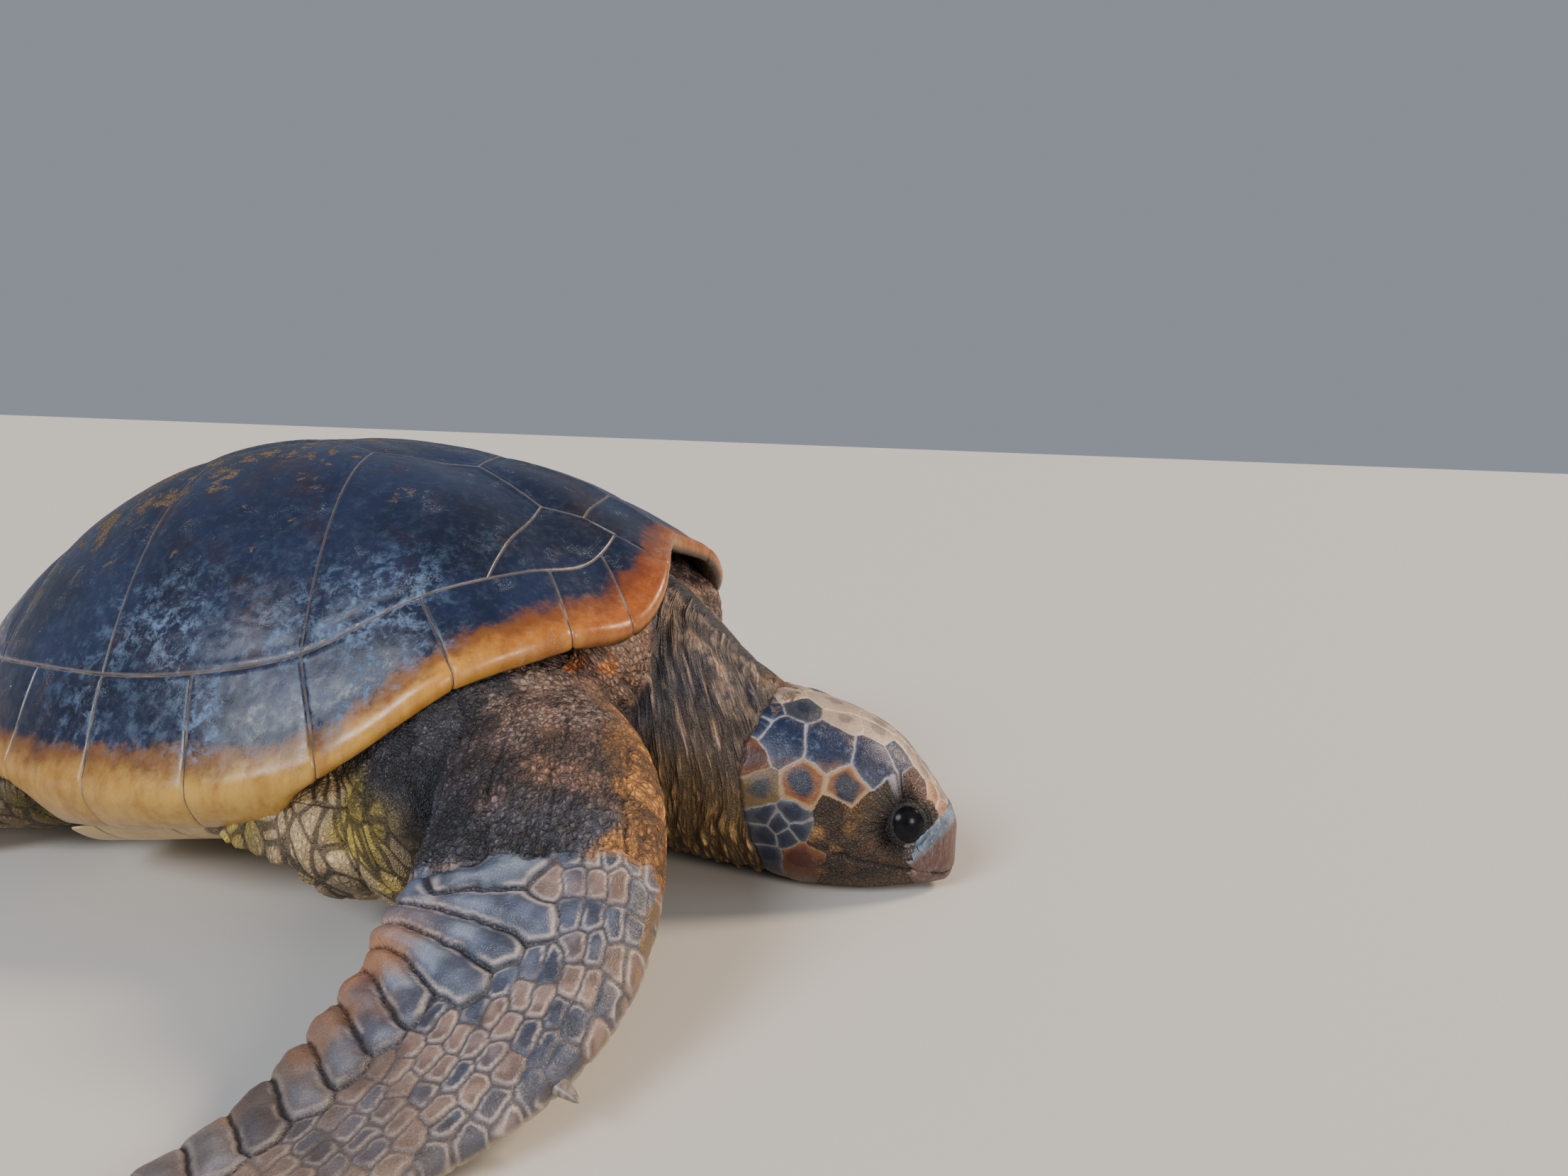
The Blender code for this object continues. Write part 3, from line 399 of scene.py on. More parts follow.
class Paint:
    """A node material, with short words for its patterns and sums."""

    def __init__(self, name):
        self.made = bpy.data.materials.new(name)
        self.made.use_nodes = True
        self.tree = self.made.node_tree
        self.at = self.node("ShaderNodeTexCoord").outputs["Object"]

    def put(self, socket, value):
        if isinstance(value, bpy.types.NodeSocket):
            self.tree.links.new(value, socket)
        else:
            socket.default_value = (*value, 1) if socket.type == "RGBA" else value

    def node(self, kind, inputs=None, **settings):
        made = self.tree.nodes.new(kind)
        for key, value in settings.items():
            setattr(made, key, value)
        for key, value in (inputs or {}).items():
            self.put(made.inputs[key], value)
        return made

    def layer(self, name, output="Fac"):
        return self.node("ShaderNodeAttribute", attribute_name=name).outputs[output]

    def stretch(self, scale, at=None):
        return self.node("ShaderNodeMapping", {"Vector": at or self.at, "Scale": scale}).outputs[0]

    def cloud(self, scale, detail=4.0, rough=0.55, distort=0.0, at=None):
        inputs = {"Vector": at or self.at, "Scale": scale, "Detail": detail, "Roughness": rough}
        return self.node("ShaderNodeTexNoise", {**inputs, "Distortion": distort}).outputs["Fac"]

    def spread(self, value, low, high, out_low=0.0, out_high=1.0):
        inputs = {"Value": value, "From Min": low, "From Max": high, "To Min": out_low, "To Max": out_high}
        return self.node("ShaderNodeMapRange", inputs, interpolation_type="SMOOTHSTEP").outputs["Result"]

    def calc(self, operation, a, b=0.0):
        return self.node("ShaderNodeMath", {0: a, 1: b}, operation=operation).outputs[0]

    def plus(self, a, b):
        return self.calc("ADD", a, b)

    def minus(self, a, b):
        return self.calc("SUBTRACT", a, b)

    def times(self, a, b):
        return self.calc("MULTIPLY", a, b)

    def swing(self, value, weight):
        """A pattern's swing about its middle."""
        return self.times(self.minus(value, 0.5), weight)

    def mixed(self, share, a, b, how="MIX"):
        made = self.node("ShaderNodeMix", data_type="RGBA", blend_type=how)
        for number, value in zip(MIX_INPUTS, (share, a, b)):
            self.put(made.inputs[number], value)
        return made.outputs[MIX_RESULT]

    def bump(self, height, distance, strength, normal=None):
        inputs = {"Height": height, "Distance": distance, "Strength": strength}
        if normal is not None:
            inputs["Normal"] = normal
        return self.node("ShaderNodeBump", inputs).outputs[0]

    def sanded(self, colour, pale, dark):
        """Grains of sand over a colour where the dust layer says, in patches: grains, cover and colour."""
        grains = self.node("ShaderNodeTexVoronoi", {"Vector": self.at, "Scale": 900.0}).outputs["Distance"]
        patch = self.cloud(38.0, 6.0, 0.7, 0.4)
        cover = self.spread(self.plus(self.layer("dust"), self.swing(patch, 1.6)), 0.50, 0.62)
        grain_tone = self.mixed(self.spread(grains, 0.1, 0.6), pale, dark)
        return grains, cover, self.mixed(cover, colour, grain_tone)

    def finish(self, colour, rough, normal=None, specular=0.5):
        shader = self.tree.nodes["Principled BSDF"]
        self.put(shader.inputs["Base Color"], colour)
        self.put(shader.inputs["Roughness"], rough)
        if normal is not None:
            self.put(shader.inputs["Normal"], normal)
        shader.inputs["Specular IOR Level"].default_value = specular
        return self.made


def shell_material():
    """Horn plates: dark slate above, amber along the rim, scuffed, salt-bloomed and dusted with sand."""
    t = Paint("shell_horn")
    tint = t.layer("tint", "Color")
    broad = t.cloud(9.0, 3.0)
    fine = t.cloud(130.0, 6.0, 0.65)
    # The dark horn of the top, with brown glimpses and fine pale flecks.
    dark = t.mixed(t.spread(broad, 0.35, 0.65), (0.004, 0.007, 0.022), (0.010, 0.018, 0.052))
    dark = t.mixed(t.spread(t.cloud(22.0, 5.0, 0.6), 0.52, 0.72, 0.0, 0.50), dark, (0.034, 0.014, 0.010))
    dark = t.mixed(t.spread(fine, 0.52, 0.80, 0.0, 0.40), dark, (0.045, 0.065, 0.120))
    # The amber rim: dark, then reddish brown, then the plate's own amber, with a soft ragged border.
    ragged = t.plus(t.plus(t.layer("amber"), t.swing(fine, 0.42)), t.swing(broad, 0.30))
    streaks = t.cloud(1.0, 5.0, 0.7, at=t.stretch((55, 55, 16)))
    stained = t.mixed(1.0, tint, (0.52, 0.34, 0.22), "MULTIPLY")
    horn = t.mixed(t.spread(streaks, 0.35, 0.70, 0.0, 0.70), tint, stained)
    horn = t.mixed(t.spread(t.cloud(700.0, 4.0, 0.6), 0.5, 0.8, 0.0, 0.25), horn, (0.60, 0.42, 0.20))
    russet = t.mixed(0.80, tint, (0.085, 0.020, 0.009))
    colour = t.mixed(t.spread(ragged, 0.14, 0.46), dark, russet)
    colour = t.mixed(t.spread(ragged, 0.42, 0.86), colour, horn)
    # Bluish-white salt bloom and small pale scratches.
    crust = t.spread(t.cloud(75.0, 9.0, 0.80, 0.3), 0.47, 0.64)
    salt = t.times(t.times(t.layer("bloom"), crust), t.spread(ragged, 0.20, 0.60, 1.0, 0.0))
    colour = t.mixed(t.times(salt, 0.70), colour, (0.17, 0.28, 0.47))
    worms = t.cloud(105.0, 3.0, 0.5, 3.2, t.stretch((1.0, 1.6, 1.3)))
    thin = t.spread(t.calc("ABSOLUTE", t.swing(worms, 1.0)), 0.0, 0.010, 1.0, 0.0)
    scratch = t.times(thin, t.spread(t.cloud(30.0, 2.0), 0.60, 0.68))
    colour = t.mixed(t.times(scratch, 0.60), colour, (0.55, 0.58, 0.62))
    # Pale lip along the seams.
    colour = t.mixed(t.spread(t.layer("edge"), 0.0003, 0.0013, 0.30, 0.0), colour, (0.30, 0.25, 0.21))
    grains, sand, colour = t.sanded(colour, (0.36, 0.24, 0.13), (0.09, 0.055, 0.035))
    rough = t.plus(t.spread(fine, 0.3, 0.7, 0.22, 0.42), t.times(sand, 0.5))
    rough = t.plus(rough, t.times(salt, 0.30))
    height = t.minus(t.plus(t.times(fine, 0.30), t.times(salt, 0.20)), t.times(scratch, 0.35))
    normal = t.bump(t.times(sand, grains), 0.0022, 0.9, t.bump(height, 0.0010, 0.5))
    return t.finish(colour, rough, normal)


def seam_material():
    """The line of growing horn between the plates."""
    t = Paint("shell_seam")
    colour = t.mixed(t.spread(t.cloud(60.0), 0.35, 0.7), (0.024, 0.020, 0.022), (0.17, 0.13, 0.105))
    return t.finish(colour, 0.6, t.bump(t.cloud(400.0), 0.001, 0.6))


def belly_material():
    t = Paint("belly_horn")
    fine = t.cloud(160.0, 6.0, 0.65)
    colour = t.mixed(t.spread(t.cloud(12.0), 0.3, 0.7), (0.62, 0.47, 0.22), (0.50, 0.34, 0.15))
    colour = t.mixed(t.spread(fine, 0.5, 0.8, 0.0, 0.5), colour, (0.30, 0.21, 0.13))
    colour = t.mixed(t.spread(t.layer("edge"), 0.0005, 0.003, 0.8, 0.0), colour, (0.16, 0.10, 0.06))
    return t.finish(colour, t.spread(fine, 0.3, 0.7, 0.35, 0.6), t.bump(fine, 0.001, 0.5))


def skin_material():
    """Leathery scaled skin: tones, relief and gloss from the mesh, with fine creases and grain added,
    painted shade in the creases and grooves, and painted highlights on the crests.
    """
    t = Paint("turtle_skin")
    tint = t.layer("tint", "Color")
    horny, weave, fold = t.layer("horny"), t.layer("weave"), t.layer("fold", "Vector")
    fine = t.cloud(240.0, 6.0, 0.7)
    # The fine net of creases follows the coordinates laid over the skin.
    net = t.node("ShaderNodeTexVoronoi", {"Vector": fold, "Scale": 1.0}, feature="DISTANCE_TO_EDGE")
    net = net.outputs["Distance"]
    # Painted shade in the grooves of the net.
    groove_shade = t.times(t.spread(net, 0.015, 0.17, 1.0, 0.0), weave)
    crest = t.times(t.spread(net, 0.16, 0.42), weave)
    streaky = t.cloud(0.8, 5.0, 0.65, at=t.stretch((1.0, 0.45, 0.45), fold))
    darker = t.mixed(1.0, tint, (0.50, 0.46, 0.46), "MULTIPLY")
    paler = t.mixed(1.0, tint, (2.3, 2.1, 1.85), "MULTIPLY")
    colour = t.mixed(t.spread(t.cloud(28.0, 5.0, 0.6), 0.3, 0.7, 0.0, 0.50), tint, darker)
    soft = t.minus(1.0, t.times(horny, 0.8))
    colour = t.mixed(t.times(t.spread(fine, 0.50, 0.74, 0.0, 0.50), soft), colour, paler)
    # Painted highlight: the net's crests are paled.
    crest_highlight = t.times(crest, t.spread(streaky, 0.40, 0.62, 0.10, 0.80))
    colour = t.mixed(crest_highlight, colour, paler)
    colour = t.mixed(t.spread(t.cloud(900.0, 3.0, 0.6), 0.35, 0.60, 0.45, 0.0), colour, darker)
    # Painted shade: the crease layer, fine noise and the grooves darken the colour to near black.
    deep = t.plus(t.layer("crease_shade"), t.swing(fine, 0.5))
    deep = t.calc("MAXIMUM", t.times(t.spread(deep, 0.25, 0.85), 0.78), t.times(groove_shade, 0.62))
    colour = t.mixed(deep, colour, (0.014, 0.010, 0.009))
    grains, sand, colour = t.sanded(colour, (0.46, 0.27, 0.14), (0.12, 0.070, 0.045))
    rough = t.minus(t.spread(fine, 0.3, 0.7, 0.42, 0.64), t.times(horny, 0.24))
    rough = t.plus(rough, t.times(sand, 0.3))
    pores = t.node("ShaderNodeTexVoronoi", {"Vector": t.at, "Scale": 420.0}, feature="DISTANCE_TO_EDGE")
    leather = t.times(t.spread(pores.outputs["Distance"], 0.0, 0.25), soft)
    normal = t.bump(t.plus(t.times(fine, 0.7), t.times(leather, 0.5)), 0.0012, 0.75)
    normal = t.bump(t.times(t.spread(net, 0.0, 0.34), weave), 0.0016, 0.9, normal)
    return t.finish(colour, rough, t.bump(t.times(sand, grains), 0.002, 0.9, normal), 0.45)


def beak_material():
    """Worn horn: bluish white along its upper edge, reddish brown below, with upright streaks."""
    t = Paint("beak_horn")
    streak = t.cloud(1.0, 5.0, 0.65, 0.5, t.stretch((420, 420, 26)))
    fine = t.cloud(380.0)
    upper = t.mixed(t.spread(t.cloud(55.0), 0.35, 0.65), (0.20, 0.26, 0.33), (0.085, 0.115, 0.160))
    lower = t.mixed(t.spread(streak, 0.35, 0.65), (0.070, 0.030, 0.024), (0.150, 0.085, 0.070))
    share = t.plus(t.layer("low"), t.swing(streak, 1.3))
    colour = t.mixed(t.spread(share, 0.25, 0.75), upper, lower)
    colour = t.mixed(t.spread(streak, 0.56, 0.76, 0.0, 0.35), colour, (0.36, 0.37, 0.40))
    flecks = t.spread(t.cloud(210.0, 5.0, 0.7), 0.54, 0.70, 0.0, 0.55)
    flecks = t.times(flecks, t.spread(share, 0.25, 0.75, 1.0, 0.3))
    colour = t.mixed(flecks, colour, (0.44, 0.52, 0.60))
    colour = t.mixed(t.spread(fine, 0.35, 0.5, 0.5, 0.0), colour, (0.030, 0.022, 0.022))
    return t.finish(colour, t.spread(fine, 0.3, 0.7, 0.32, 0.52), t.bump(streak, 0.0016, 0.8))


def claw_material():
    t = Paint("claw_horn")
    streak = t.cloud(1.0, 5.0, at=t.stretch((300, 300, 60)))
    colour = t.mixed(t.spread(streak, 0.3, 0.7), (0.11, 0.085, 0.07), (0.24, 0.20, 0.16))
    return t.finish(colour, 0.4, t.bump(streak, 0.0003, 0.3))


def eye_material():
    """A dark wet eye, its brown iris hardly lighter than the pupil."""
    t = Paint("eye_wet")
    colour = t.mixed(t.spread(t.cloud(180.0), 0.3, 0.7), (0.0020, 0.0025, 0.004), (0.006, 0.007, 0.010))
    colour = t.mixed(t.times(t.layer("iris"), 0.35), colour, (0.011, 0.009, 0.009))
    return t.finish(colour, 0.20, specular=0.12)


# --- Carapace ---------------------------------------------------------------------------------------

BAND_ANGLES = (0, 16, 30, 42, 56, 70, 85, 110, 150, 180)
BAND_TONES = (
    (0.300, 0.120, 0.040), (0.300, 0.078, 0.016), (0.380, 0.120, 0.018), (0.470, 0.190, 0.030),
    (0.600, 0.290, 0.042), (0.500, 0.290, 0.052), (0.450, 0.260, 0.050), (0.400, 0.210, 0.048),
    (0.460, 0.260, 0.070), (0.400, 0.210, 0.060),
)
# Where the amber starts on a marginal's top, and how softly, by the angle from the nose.
AMBER_ANGLES = (0, 20, 34, 50, 66, 90, 180)
AMBER_STARTS = (0.80, 0.47, 0.62, 0.72, 0.78, 0.72, 0.66)
SOFT_ANGLES = (0, 34, 60, 180)
SOFT_SPREADS = (0.34, 0.34, 0.26, 0.26)
LOW_AMBER = (0.46, 0.31, 0.090)
UNDERSIDE = (0.42, 0.30, 0.13)
# Painted shade: a dark tone on the underside of the front marginals, just inside the rim.
UNDER_RIM_SHADE = (0.050, 0.030, 0.018)


def band_tone(angle):
    return smooth_values(BAND_ANGLES, BAND_TONES, np.abs(angle))


def shell_dust(p):
    """How much sand lies on the shell: most on the rear right of the top."""
    x, y, z = level(p).T
    rear = step(0.25, -0.25, x) * (0.5 + 0.5 * step(0.10, -0.15, y)) * step(0.12, 0.25, z)
    return 0.16 + 0.18 * step(0.20, 0.34, z) + 0.22 * rear


def shell_bloom(p):
    """How much salt has dried on the horn: a band low on the sides, just above the amber."""
    l = level(p)
    low = step(0.265, 0.205, l[:, 2]) * step(0.290, 0.200, l[:, 0]) * step(-0.16, 0.05, l[:, 0])
    patchy = step(-0.35, 0.55, noise(l, 0.07, 27, 2))
    return np.clip(0.06 + 0.90 * low * (0.25 + 0.75 * patchy), 0, 1)


def describe_horn(obj, p, edge, amber, tint):
    set_values(obj, "edge", edge)
    set_values(obj, "amber", np.clip(amber, 0, 1))
    set_values(obj, "bloom", shell_bloom(p))
    set_values(obj, "dust", shell_dust(p))
    set_values(obj, "tint", tint, "FLOAT_COLOR")


def fine_steps(length, size):
    """Shares from 0 to 1, spaced by size along a length, and closer together at both ends."""
    close = np.array((0.0, 0.00035, 0.0009, 0.0018, 0.0032))
    middle = np.linspace(0.0052, length - 0.0052, max(int(length / size), 6))
    return np.concatenate([close, middle, length - close[::-1]]) / length


def plate_edge(edge):
    """A plate's rounded border."""
    return -ROUND_DEPTH * np.exp(-((edge / ROUND_REACH) ** 1.3))


def on_top(xy):
    rho, angle = disk(xy)
    return np.concatenate([xy, top_height(rho, angle)[:, None]], 1)


def plate_piece(name, first, last, finish):
    """A horn plate between two plan lines, given as functions of a share from 0 to 1 along them."""
    probe = np.linspace(0, 1, 60)
    one, other = first(probe), last(probe)
    long = max(np.linalg.norm(np.diff(line, axis=0), axis=1).sum() for line in (one, other))
    wide = np.linalg.norm(one - other, axis=1).max() * 1.2
    u, v = fine_steps(long, PLATE_STEP), fine_steps(wide, PLATE_STEP)[:, None, None]
    xy = between(first(u)[None], last(u)[None], v)
    shape = xy.shape[:2]
    flat = xy.reshape(-1, 2)
    edge = line_distance(flat, np.concatenate([one, other[::-1], one[:1]]))
    flat = flat + unit(flat.mean(0) - flat) * np.where(edge < 0.004, SEAM_HALF, 0)[:, None]
    p = on_top(flat)
    n = grid_normals(p.reshape(*shape, 3)).reshape(-1, 3)
    n *= np.sign(n[:, 2:3]) + (n[:, 2:3] == 0)
    crown = 0.0012 * step(0, 0.03, edge) - 0.0007 * hill(edge - 0.006, 0.004)
    growth = 0.00016 * np.sin(edge / 0.0023 * 2 * np.pi) * step(0.045, 0.006, edge)
    growth = growth * (0.5 + 0.5 * noise(p, 0.03, 5))
    waves = 0.0006 * noise(p, 0.05, 7, 2) * step(0, 0.01, edge) + 0.00012 * noise(p, 0.006, 9, 2)
    top = tilted(p + n * (plate_edge(edge) + crown + growth + waves)[:, None])
    ids = np.arange(len(p)).reshape(shape)
    border = np.concatenate([ids[0], ids[1:, -1], ids[-1, -2::-1], ids[-2:0:-1, 0]])
    low = len(p) + np.arange(len(border))
    walls = np.stack([np.roll(border, -1), border, low, np.roll(low, -1)], -1)
    every = np.concatenate([top, tilted(p - n * SKIRT_DEPTH)[border]])
    obj = add_object(name, every, np.concatenate([grid_faces(*shape), walls]), finish)
    face_out(obj)
    edge = np.concatenate([edge, np.zeros(len(border))])
    _, around = disk(level(every)[:, :2])
    describe_horn(obj, every, edge, 0.10 * noise(every, 0.06, 3), band_tone(around))
    return obj


def polyline(points):
    """A function of a share along a polyline, equal shares per corner-to-corner step."""
    points = np.asarray(points, float)
    knots = np.linspace(0, 1, len(points))
    return lambda t: np.stack([np.interp(t, knots, points[:, 0]), np.interp(t, knots, points[:, 1])], -1)


def border_line(first, last):
    """A function of a share along the marginals' inner border, between two places in half marginals."""
    angles = np.interp(np.arange(0, 12.5, 0.5), np.arange(13), INNER_SEAMS)[first : last + 1]
    knots = np.linspace(0, 1, len(angles))
    return lambda t: plan(BORDER, np.interp(t, knots, angles))


def cornered(points, count):
    """Points along a polyline, count steps in all, shared out evenly between its corners."""
    spans = len(points) - 1
    line = [points[0]]
    for i, ((x0, y0), (x1, y1)) in enumerate(zip(points, points[1:])):
        steps = count // spans + (i < count % spans)
        line += [(x0 + (x1 - x0) * s / steps, y0 + (y1 - y0) * s / steps) for s in range(1, steps + 1)]
    return line


def flipped(line, side):
    return lambda t: line(t) * np.array((1, side))


def costal_lines(number):
    """The inner and outer lines of one costal plate."""
    inner = [VERTEBRAL_CORNERS[number - 1], VERTEBRAL_SEAMS[number], VERTEBRAL_CORNERS[min(number, 3)]]
    if number == 0:
        inner[0] = tuple(plan(BORDER, INNER_SEAMS[0]))
    if number == 4:
        inner[2] = tuple(plan(BORDER, INNER_SEAMS[11]))
    first, last = COSTAL_STARTS[number : number + 2]
    return polyline(cornered(inner, last - first)), border_line(first, last)


def marginal_profile(border, inner, rim_angle):
    """Points round a marginal's cut, from its inner border over the rim to its underside, and how far along
    they are, with 1 on the rim. In the shell's level frame."""
    rim, joined = float(rim_height(rim_angle)), float(along_bridge(plan(1.0, rim_angle)[..., 0], 0.03))
    foot = rim - BRIDGE_FOOT
    base = float(top_height(border, inner)) - MARGINAL_THICK
    over = float(top_height(0.945, rim_angle))

    def angle_at(rho):
        return inner + (rim_angle - inner) * (rho - border) / (1 - border)

    tops = [rho for rho in (border, 0.895, 0.92, 0.945, 0.965, 0.982) if rho >= border]
    control = [(rho, float(top_height(rho, angle_at(rho)))) for rho in tops] + [(0.9965, rim + 0.0035)]
    opened = (
        (1.0, rim - 0.005), (0.989, rim - 0.0115), (0.968, (rim + over) / 2 - 0.018),
        (0.945, over - MARGINAL_THICK - 0.003), (border + 0.012, base),
        (border - 0.02, base + MARGINAL_THICK * 0.4),
    )
    closed = (
        (0.999, rim - 0.15 * foot), (0.990, rim - 0.35 * foot), (0.972, rim - 0.58 * foot),
        (0.955, rim - 0.75 * foot), (0.905, BRIDGE_FOOT), (border - 0.01, BRIDGE_FOOT + 0.004),
    )
    control = np.array(control + [tuple(p) for p in between(np.array(opened), np.array(closed), joined)])
    gaps = np.linalg.norm(np.diff(control * np.array((RIM_RADIUS, 1.0)), axis=0), axis=1)
    knots = np.concatenate([[0], np.cumsum(gaps)])
    at = np.linspace(0, 1, RIM_POINTS) * knots[-1]
    curve = smooth_values(knots, control, at)
    xy = plan(curve[:, 0], angle_at(np.minimum(curve[:, 0], 1.0)))
    return np.concatenate([xy, curve[:, 1:]], 1), at / knots[np.argmax(control[:, 0])]


def marginal_piece(name, sections, side, finish):
    """A marginal plate swept through its cuts: each a border share, an inner angle and a rim angle."""
    cuts, bands = [], []
    for border, inner, rim in sections:
        ring, band = marginal_profile(border, abs(inner), abs(rim))
        cuts.append(ring * np.array((1, (math.copysign(1, rim) if rim else 1) * side, 1)))
        bands.append(band)
    p, band = np.array(cuts), np.array(bands)
    shape = p.shape[:2]
    front = np.repeat([abs(rim) for _, _, rim in sections], RIM_POINTS)
    lengths = np.linalg.norm(np.diff(p, axis=0), axis=-1)
    along = np.concatenate([np.zeros((1, RIM_POINTS)), np.cumsum(lengths, axis=0)])
    length = np.linalg.norm(p[:, 0] - p[:, TOP_POINT], axis=-1) / np.maximum(band[:, TOP_POINT], 1e-6)
    e = np.minimum(np.minimum(along, along[-1] - along), np.abs(band) * length[:, None]).ravel()
    share, b = (along / along[-1]).ravel(), band.ravel()
    flat = p.reshape(-1, 3)
    swell = 0.0016 * np.sin(np.pi * share) ** 0.6 * step(0.5, 0.95, b) * step(1.6, 1.1, b)
    swell = swell - 0.0008 * hill(b - 0.62, 0.16)
    waves = 0.0005 * noise(flat, 0.04, 11, 2) * step(0, 0.01, e) + 0.00012 * noise(flat, 0.006, 9, 2)
    flat = tilted(flat + ring_normals(p).reshape(-1, 3) * (plate_edge(e) + swell + waves)[:, None])
    obj = add_object(name, flat, grid_faces(*shape), finish)
    face_out(obj, [range(row, row + RIM_POINTS) for row in (0, len(flat) - RIM_POINTS)])
    start = np.interp(front, AMBER_ANGLES, AMBER_STARTS)
    soft = np.interp(front, SOFT_ANGLES, SOFT_SPREADS)
    amber = (b + 0.06 * noise(flat, 0.02, 21, 3) - start + soft) / (2 * soft)
    tint = tinted(band_tone(front), LOW_AMBER, 0.35 * step(0.80, 1.15, b))
    tint = tinted(tint, UNDERSIDE, 0.7 * step(1.15, 1.5, b))
    # Painted shade under the front rim.
    tint = tinted(tint, UNDER_RIM_SHADE, step(1.00, 1.07, b) * step(34, 26, front))
    describe_horn(obj, flat, e, amber, tint)
    return obj


def section_run(number):
    """Cuts of one marginal, front to rear, closer together at its two seams."""
    length = math.radians(RIM_SEAMS[number + 1] - RIM_SEAMS[number]) * RIM_RADIUS
    shares = fine_steps(length, PLATE_STEP * 1.1)
    inner, rim = (
        np.interp(shares, (0, 1), (seams[number] + SEAM_TURN, seams[number + 1] - SEAM_TURN))
        for seams in (INNER_SEAMS, RIM_SEAMS)
    )
    return [(BORDER + SEAM_HALF / HALF_WIDTH, i, r) for i, r in zip(inner, rim)]


def nuchal_sections():
    """Cuts of the plate over the neck, from right to left."""
    x, y = plan(BORDER, INNER_SEAMS[0])
    rear = VERTEBRAL_SEAMS[0][1]
    line = polyline([(x, -y), (NUCHAL_REAR_X, -rear), (NUCHAL_REAR_X, 0), (NUCHAL_REAR_X, rear), (x, y)])
    sections = []
    for t in np.sort(np.concatenate([fine_steps(0.16, PLATE_STEP * 1.1), (0.25, 0.75)])):
        border, inner = disk(line(np.array([t])) * np.array((1, 0.994)) + np.array((SEAM_HALF, 0)))
        sections.append((float(border[0]), float(inner[0]), (RIM_SEAMS[0] - SEAM_TURN) * (t * 2 - 1)))
    return sections


def rearmost(t):
    """The rear border of the last vertebral plate, from right to left."""
    return plan(BORDER, np.interp(t, (0, 0.5, 1), (-INNER_SEAMS[11], -180, -360 + INNER_SEAMS[11])))


def carapace():
    horn = shell_material()
    for side, word in SIDES:
        for number in range(5):
            inner, outer = (flipped(line, side) for line in costal_lines(number))
            name = f"costal_{word}_{number + 1}"
            keep(plate_piece(name, inner, outer, horn), "shell_dark", f"scute_{name}")
        for number in range(12):
            name = f"marginal_{word}_{number + 1:02d}"
            keep(marginal_piece(name, section_run(number), side, horn), "shell_amber", f"scute_{name}")
    for number in range(5):
        x, y = front = VERTEBRAL_SEAMS[number]
        if number == 4:
            first, last = polyline([(x, -y), front]), rearmost
        else:
            last = polyline(cornered([front, VERTEBRAL_CORNERS[number], VERTEBRAL_SEAMS[number + 1]], 4))
            first = flipped(last, -1)
        name = f"vertebral_{number + 1}"
        keep(plate_piece(name, first, last, horn), "shell_dark", f"scute_{name}")
    keep(marginal_piece("nuchal", nuchal_sections(), 1, horn), "shell_dark", "scute_nuchal")
    seam_layer()


def seam_layer():
    """The shell's surface just below the plates, which shows as a line in the seams."""
    finish = seam_material()
    rho = np.concatenate([np.linspace(0.01, BORDER - 0.01, 60), [BORDER + 0.01, 0.90]])
    angle = np.linspace(-180, 180, 241)[:-1]
    r, a = np.meshgrid(rho, angle, indexing="ij")
    p = np.concatenate([plan(r, a), (top_height(r, a) - 0.0003)[..., None]], -1)
    n = grid_normals(p)
    n *= np.sign(n[..., 2:3])
    p = tilted((p - n * SEAM_DEPTH).reshape(-1, 3))
    dome = add_object("seam_dome", p, grid_faces(*r.shape, True)[:, ::-1], finish)
    seams = ((0, *RIM_SEAMS), (0, *INNER_SEAMS))
    turns = np.linspace(0, 180, 181)
    half = np.array([marginal_profile(BORDER + 0.004, np.interp(turn, *seams), turn)[0] for turn in turns])
    whole = np.concatenate([half, (half * np.array((1, -1, 1)))[-2:0:-1]])
    p = tilted((whole - ring_normals(whole) * SEAM_DEPTH).reshape(-1, 3))
    first = np.arange(RIM_POINTS - 1)
    last = first + (len(whole) - 1) * RIM_POINTS
    wrap = np.stack([last, last + 1, first + 1, first], -1)
    rim = add_object("seam_rim", p, np.concatenate([grid_faces(len(whole), RIM_POINTS), wrap]), finish)
    face_out(rim)
    keep(dome, "shell_dark")
    keep(rim, "shell_dark")


# --- Flesh forms ------------------------------------------------------------------------------------

# Fore flipper: shoulder, elbow, wrist, middle of the blade and tip, for the right side. The left one
# trails further.
FORE_KNOTS = (0.0, 0.33, 0.55, 0.78, 0.93, 1.0)
FORE_RIGHT = (
    (0.500, -0.150, 0.140), (0.605, -0.320, 0.122), (0.615, -0.430, 0.062), (0.560, -0.550, 0.016),
    (0.495, -0.632, 0.005), (0.458, -0.668, 0.003),
)
FORE_LEFT = (
    (0.485, -0.150, 0.128), (0.525, -0.330, 0.088), (0.495, -0.440, 0.052), (0.415, -0.535, 0.016),
    (0.325, -0.600, 0.005), (0.280, -0.624, 0.003),
)
FORE_HALVES = (0.080, 0.080, 0.084, 0.060, 0.033, 0.007)
FORE_THICKS = (0.070, 0.046, 0.024, 0.0130, 0.007, 0.004)
FORE_UPS = (
    (0.0, -0.10, 1.0), (0.10, -0.45, 0.88), (0.05, -0.45, 0.88), (0.0, -0.08, 1.0), (0.0, 0.0, 1.0),
    (0.0, 0.0, 1.0),
)
BLADE_LEAD = 0.35
HIND_KNOTS = (0.0, 0.35, 0.72, 0.93, 1.0)
HIND_PLACES = (
    (0.070, -0.130, 0.080), (-0.045, -0.222, 0.050), (-0.170, -0.285, 0.014), (-0.245, -0.315, 0.005),
    (-0.272, -0.325, 0.003),
)
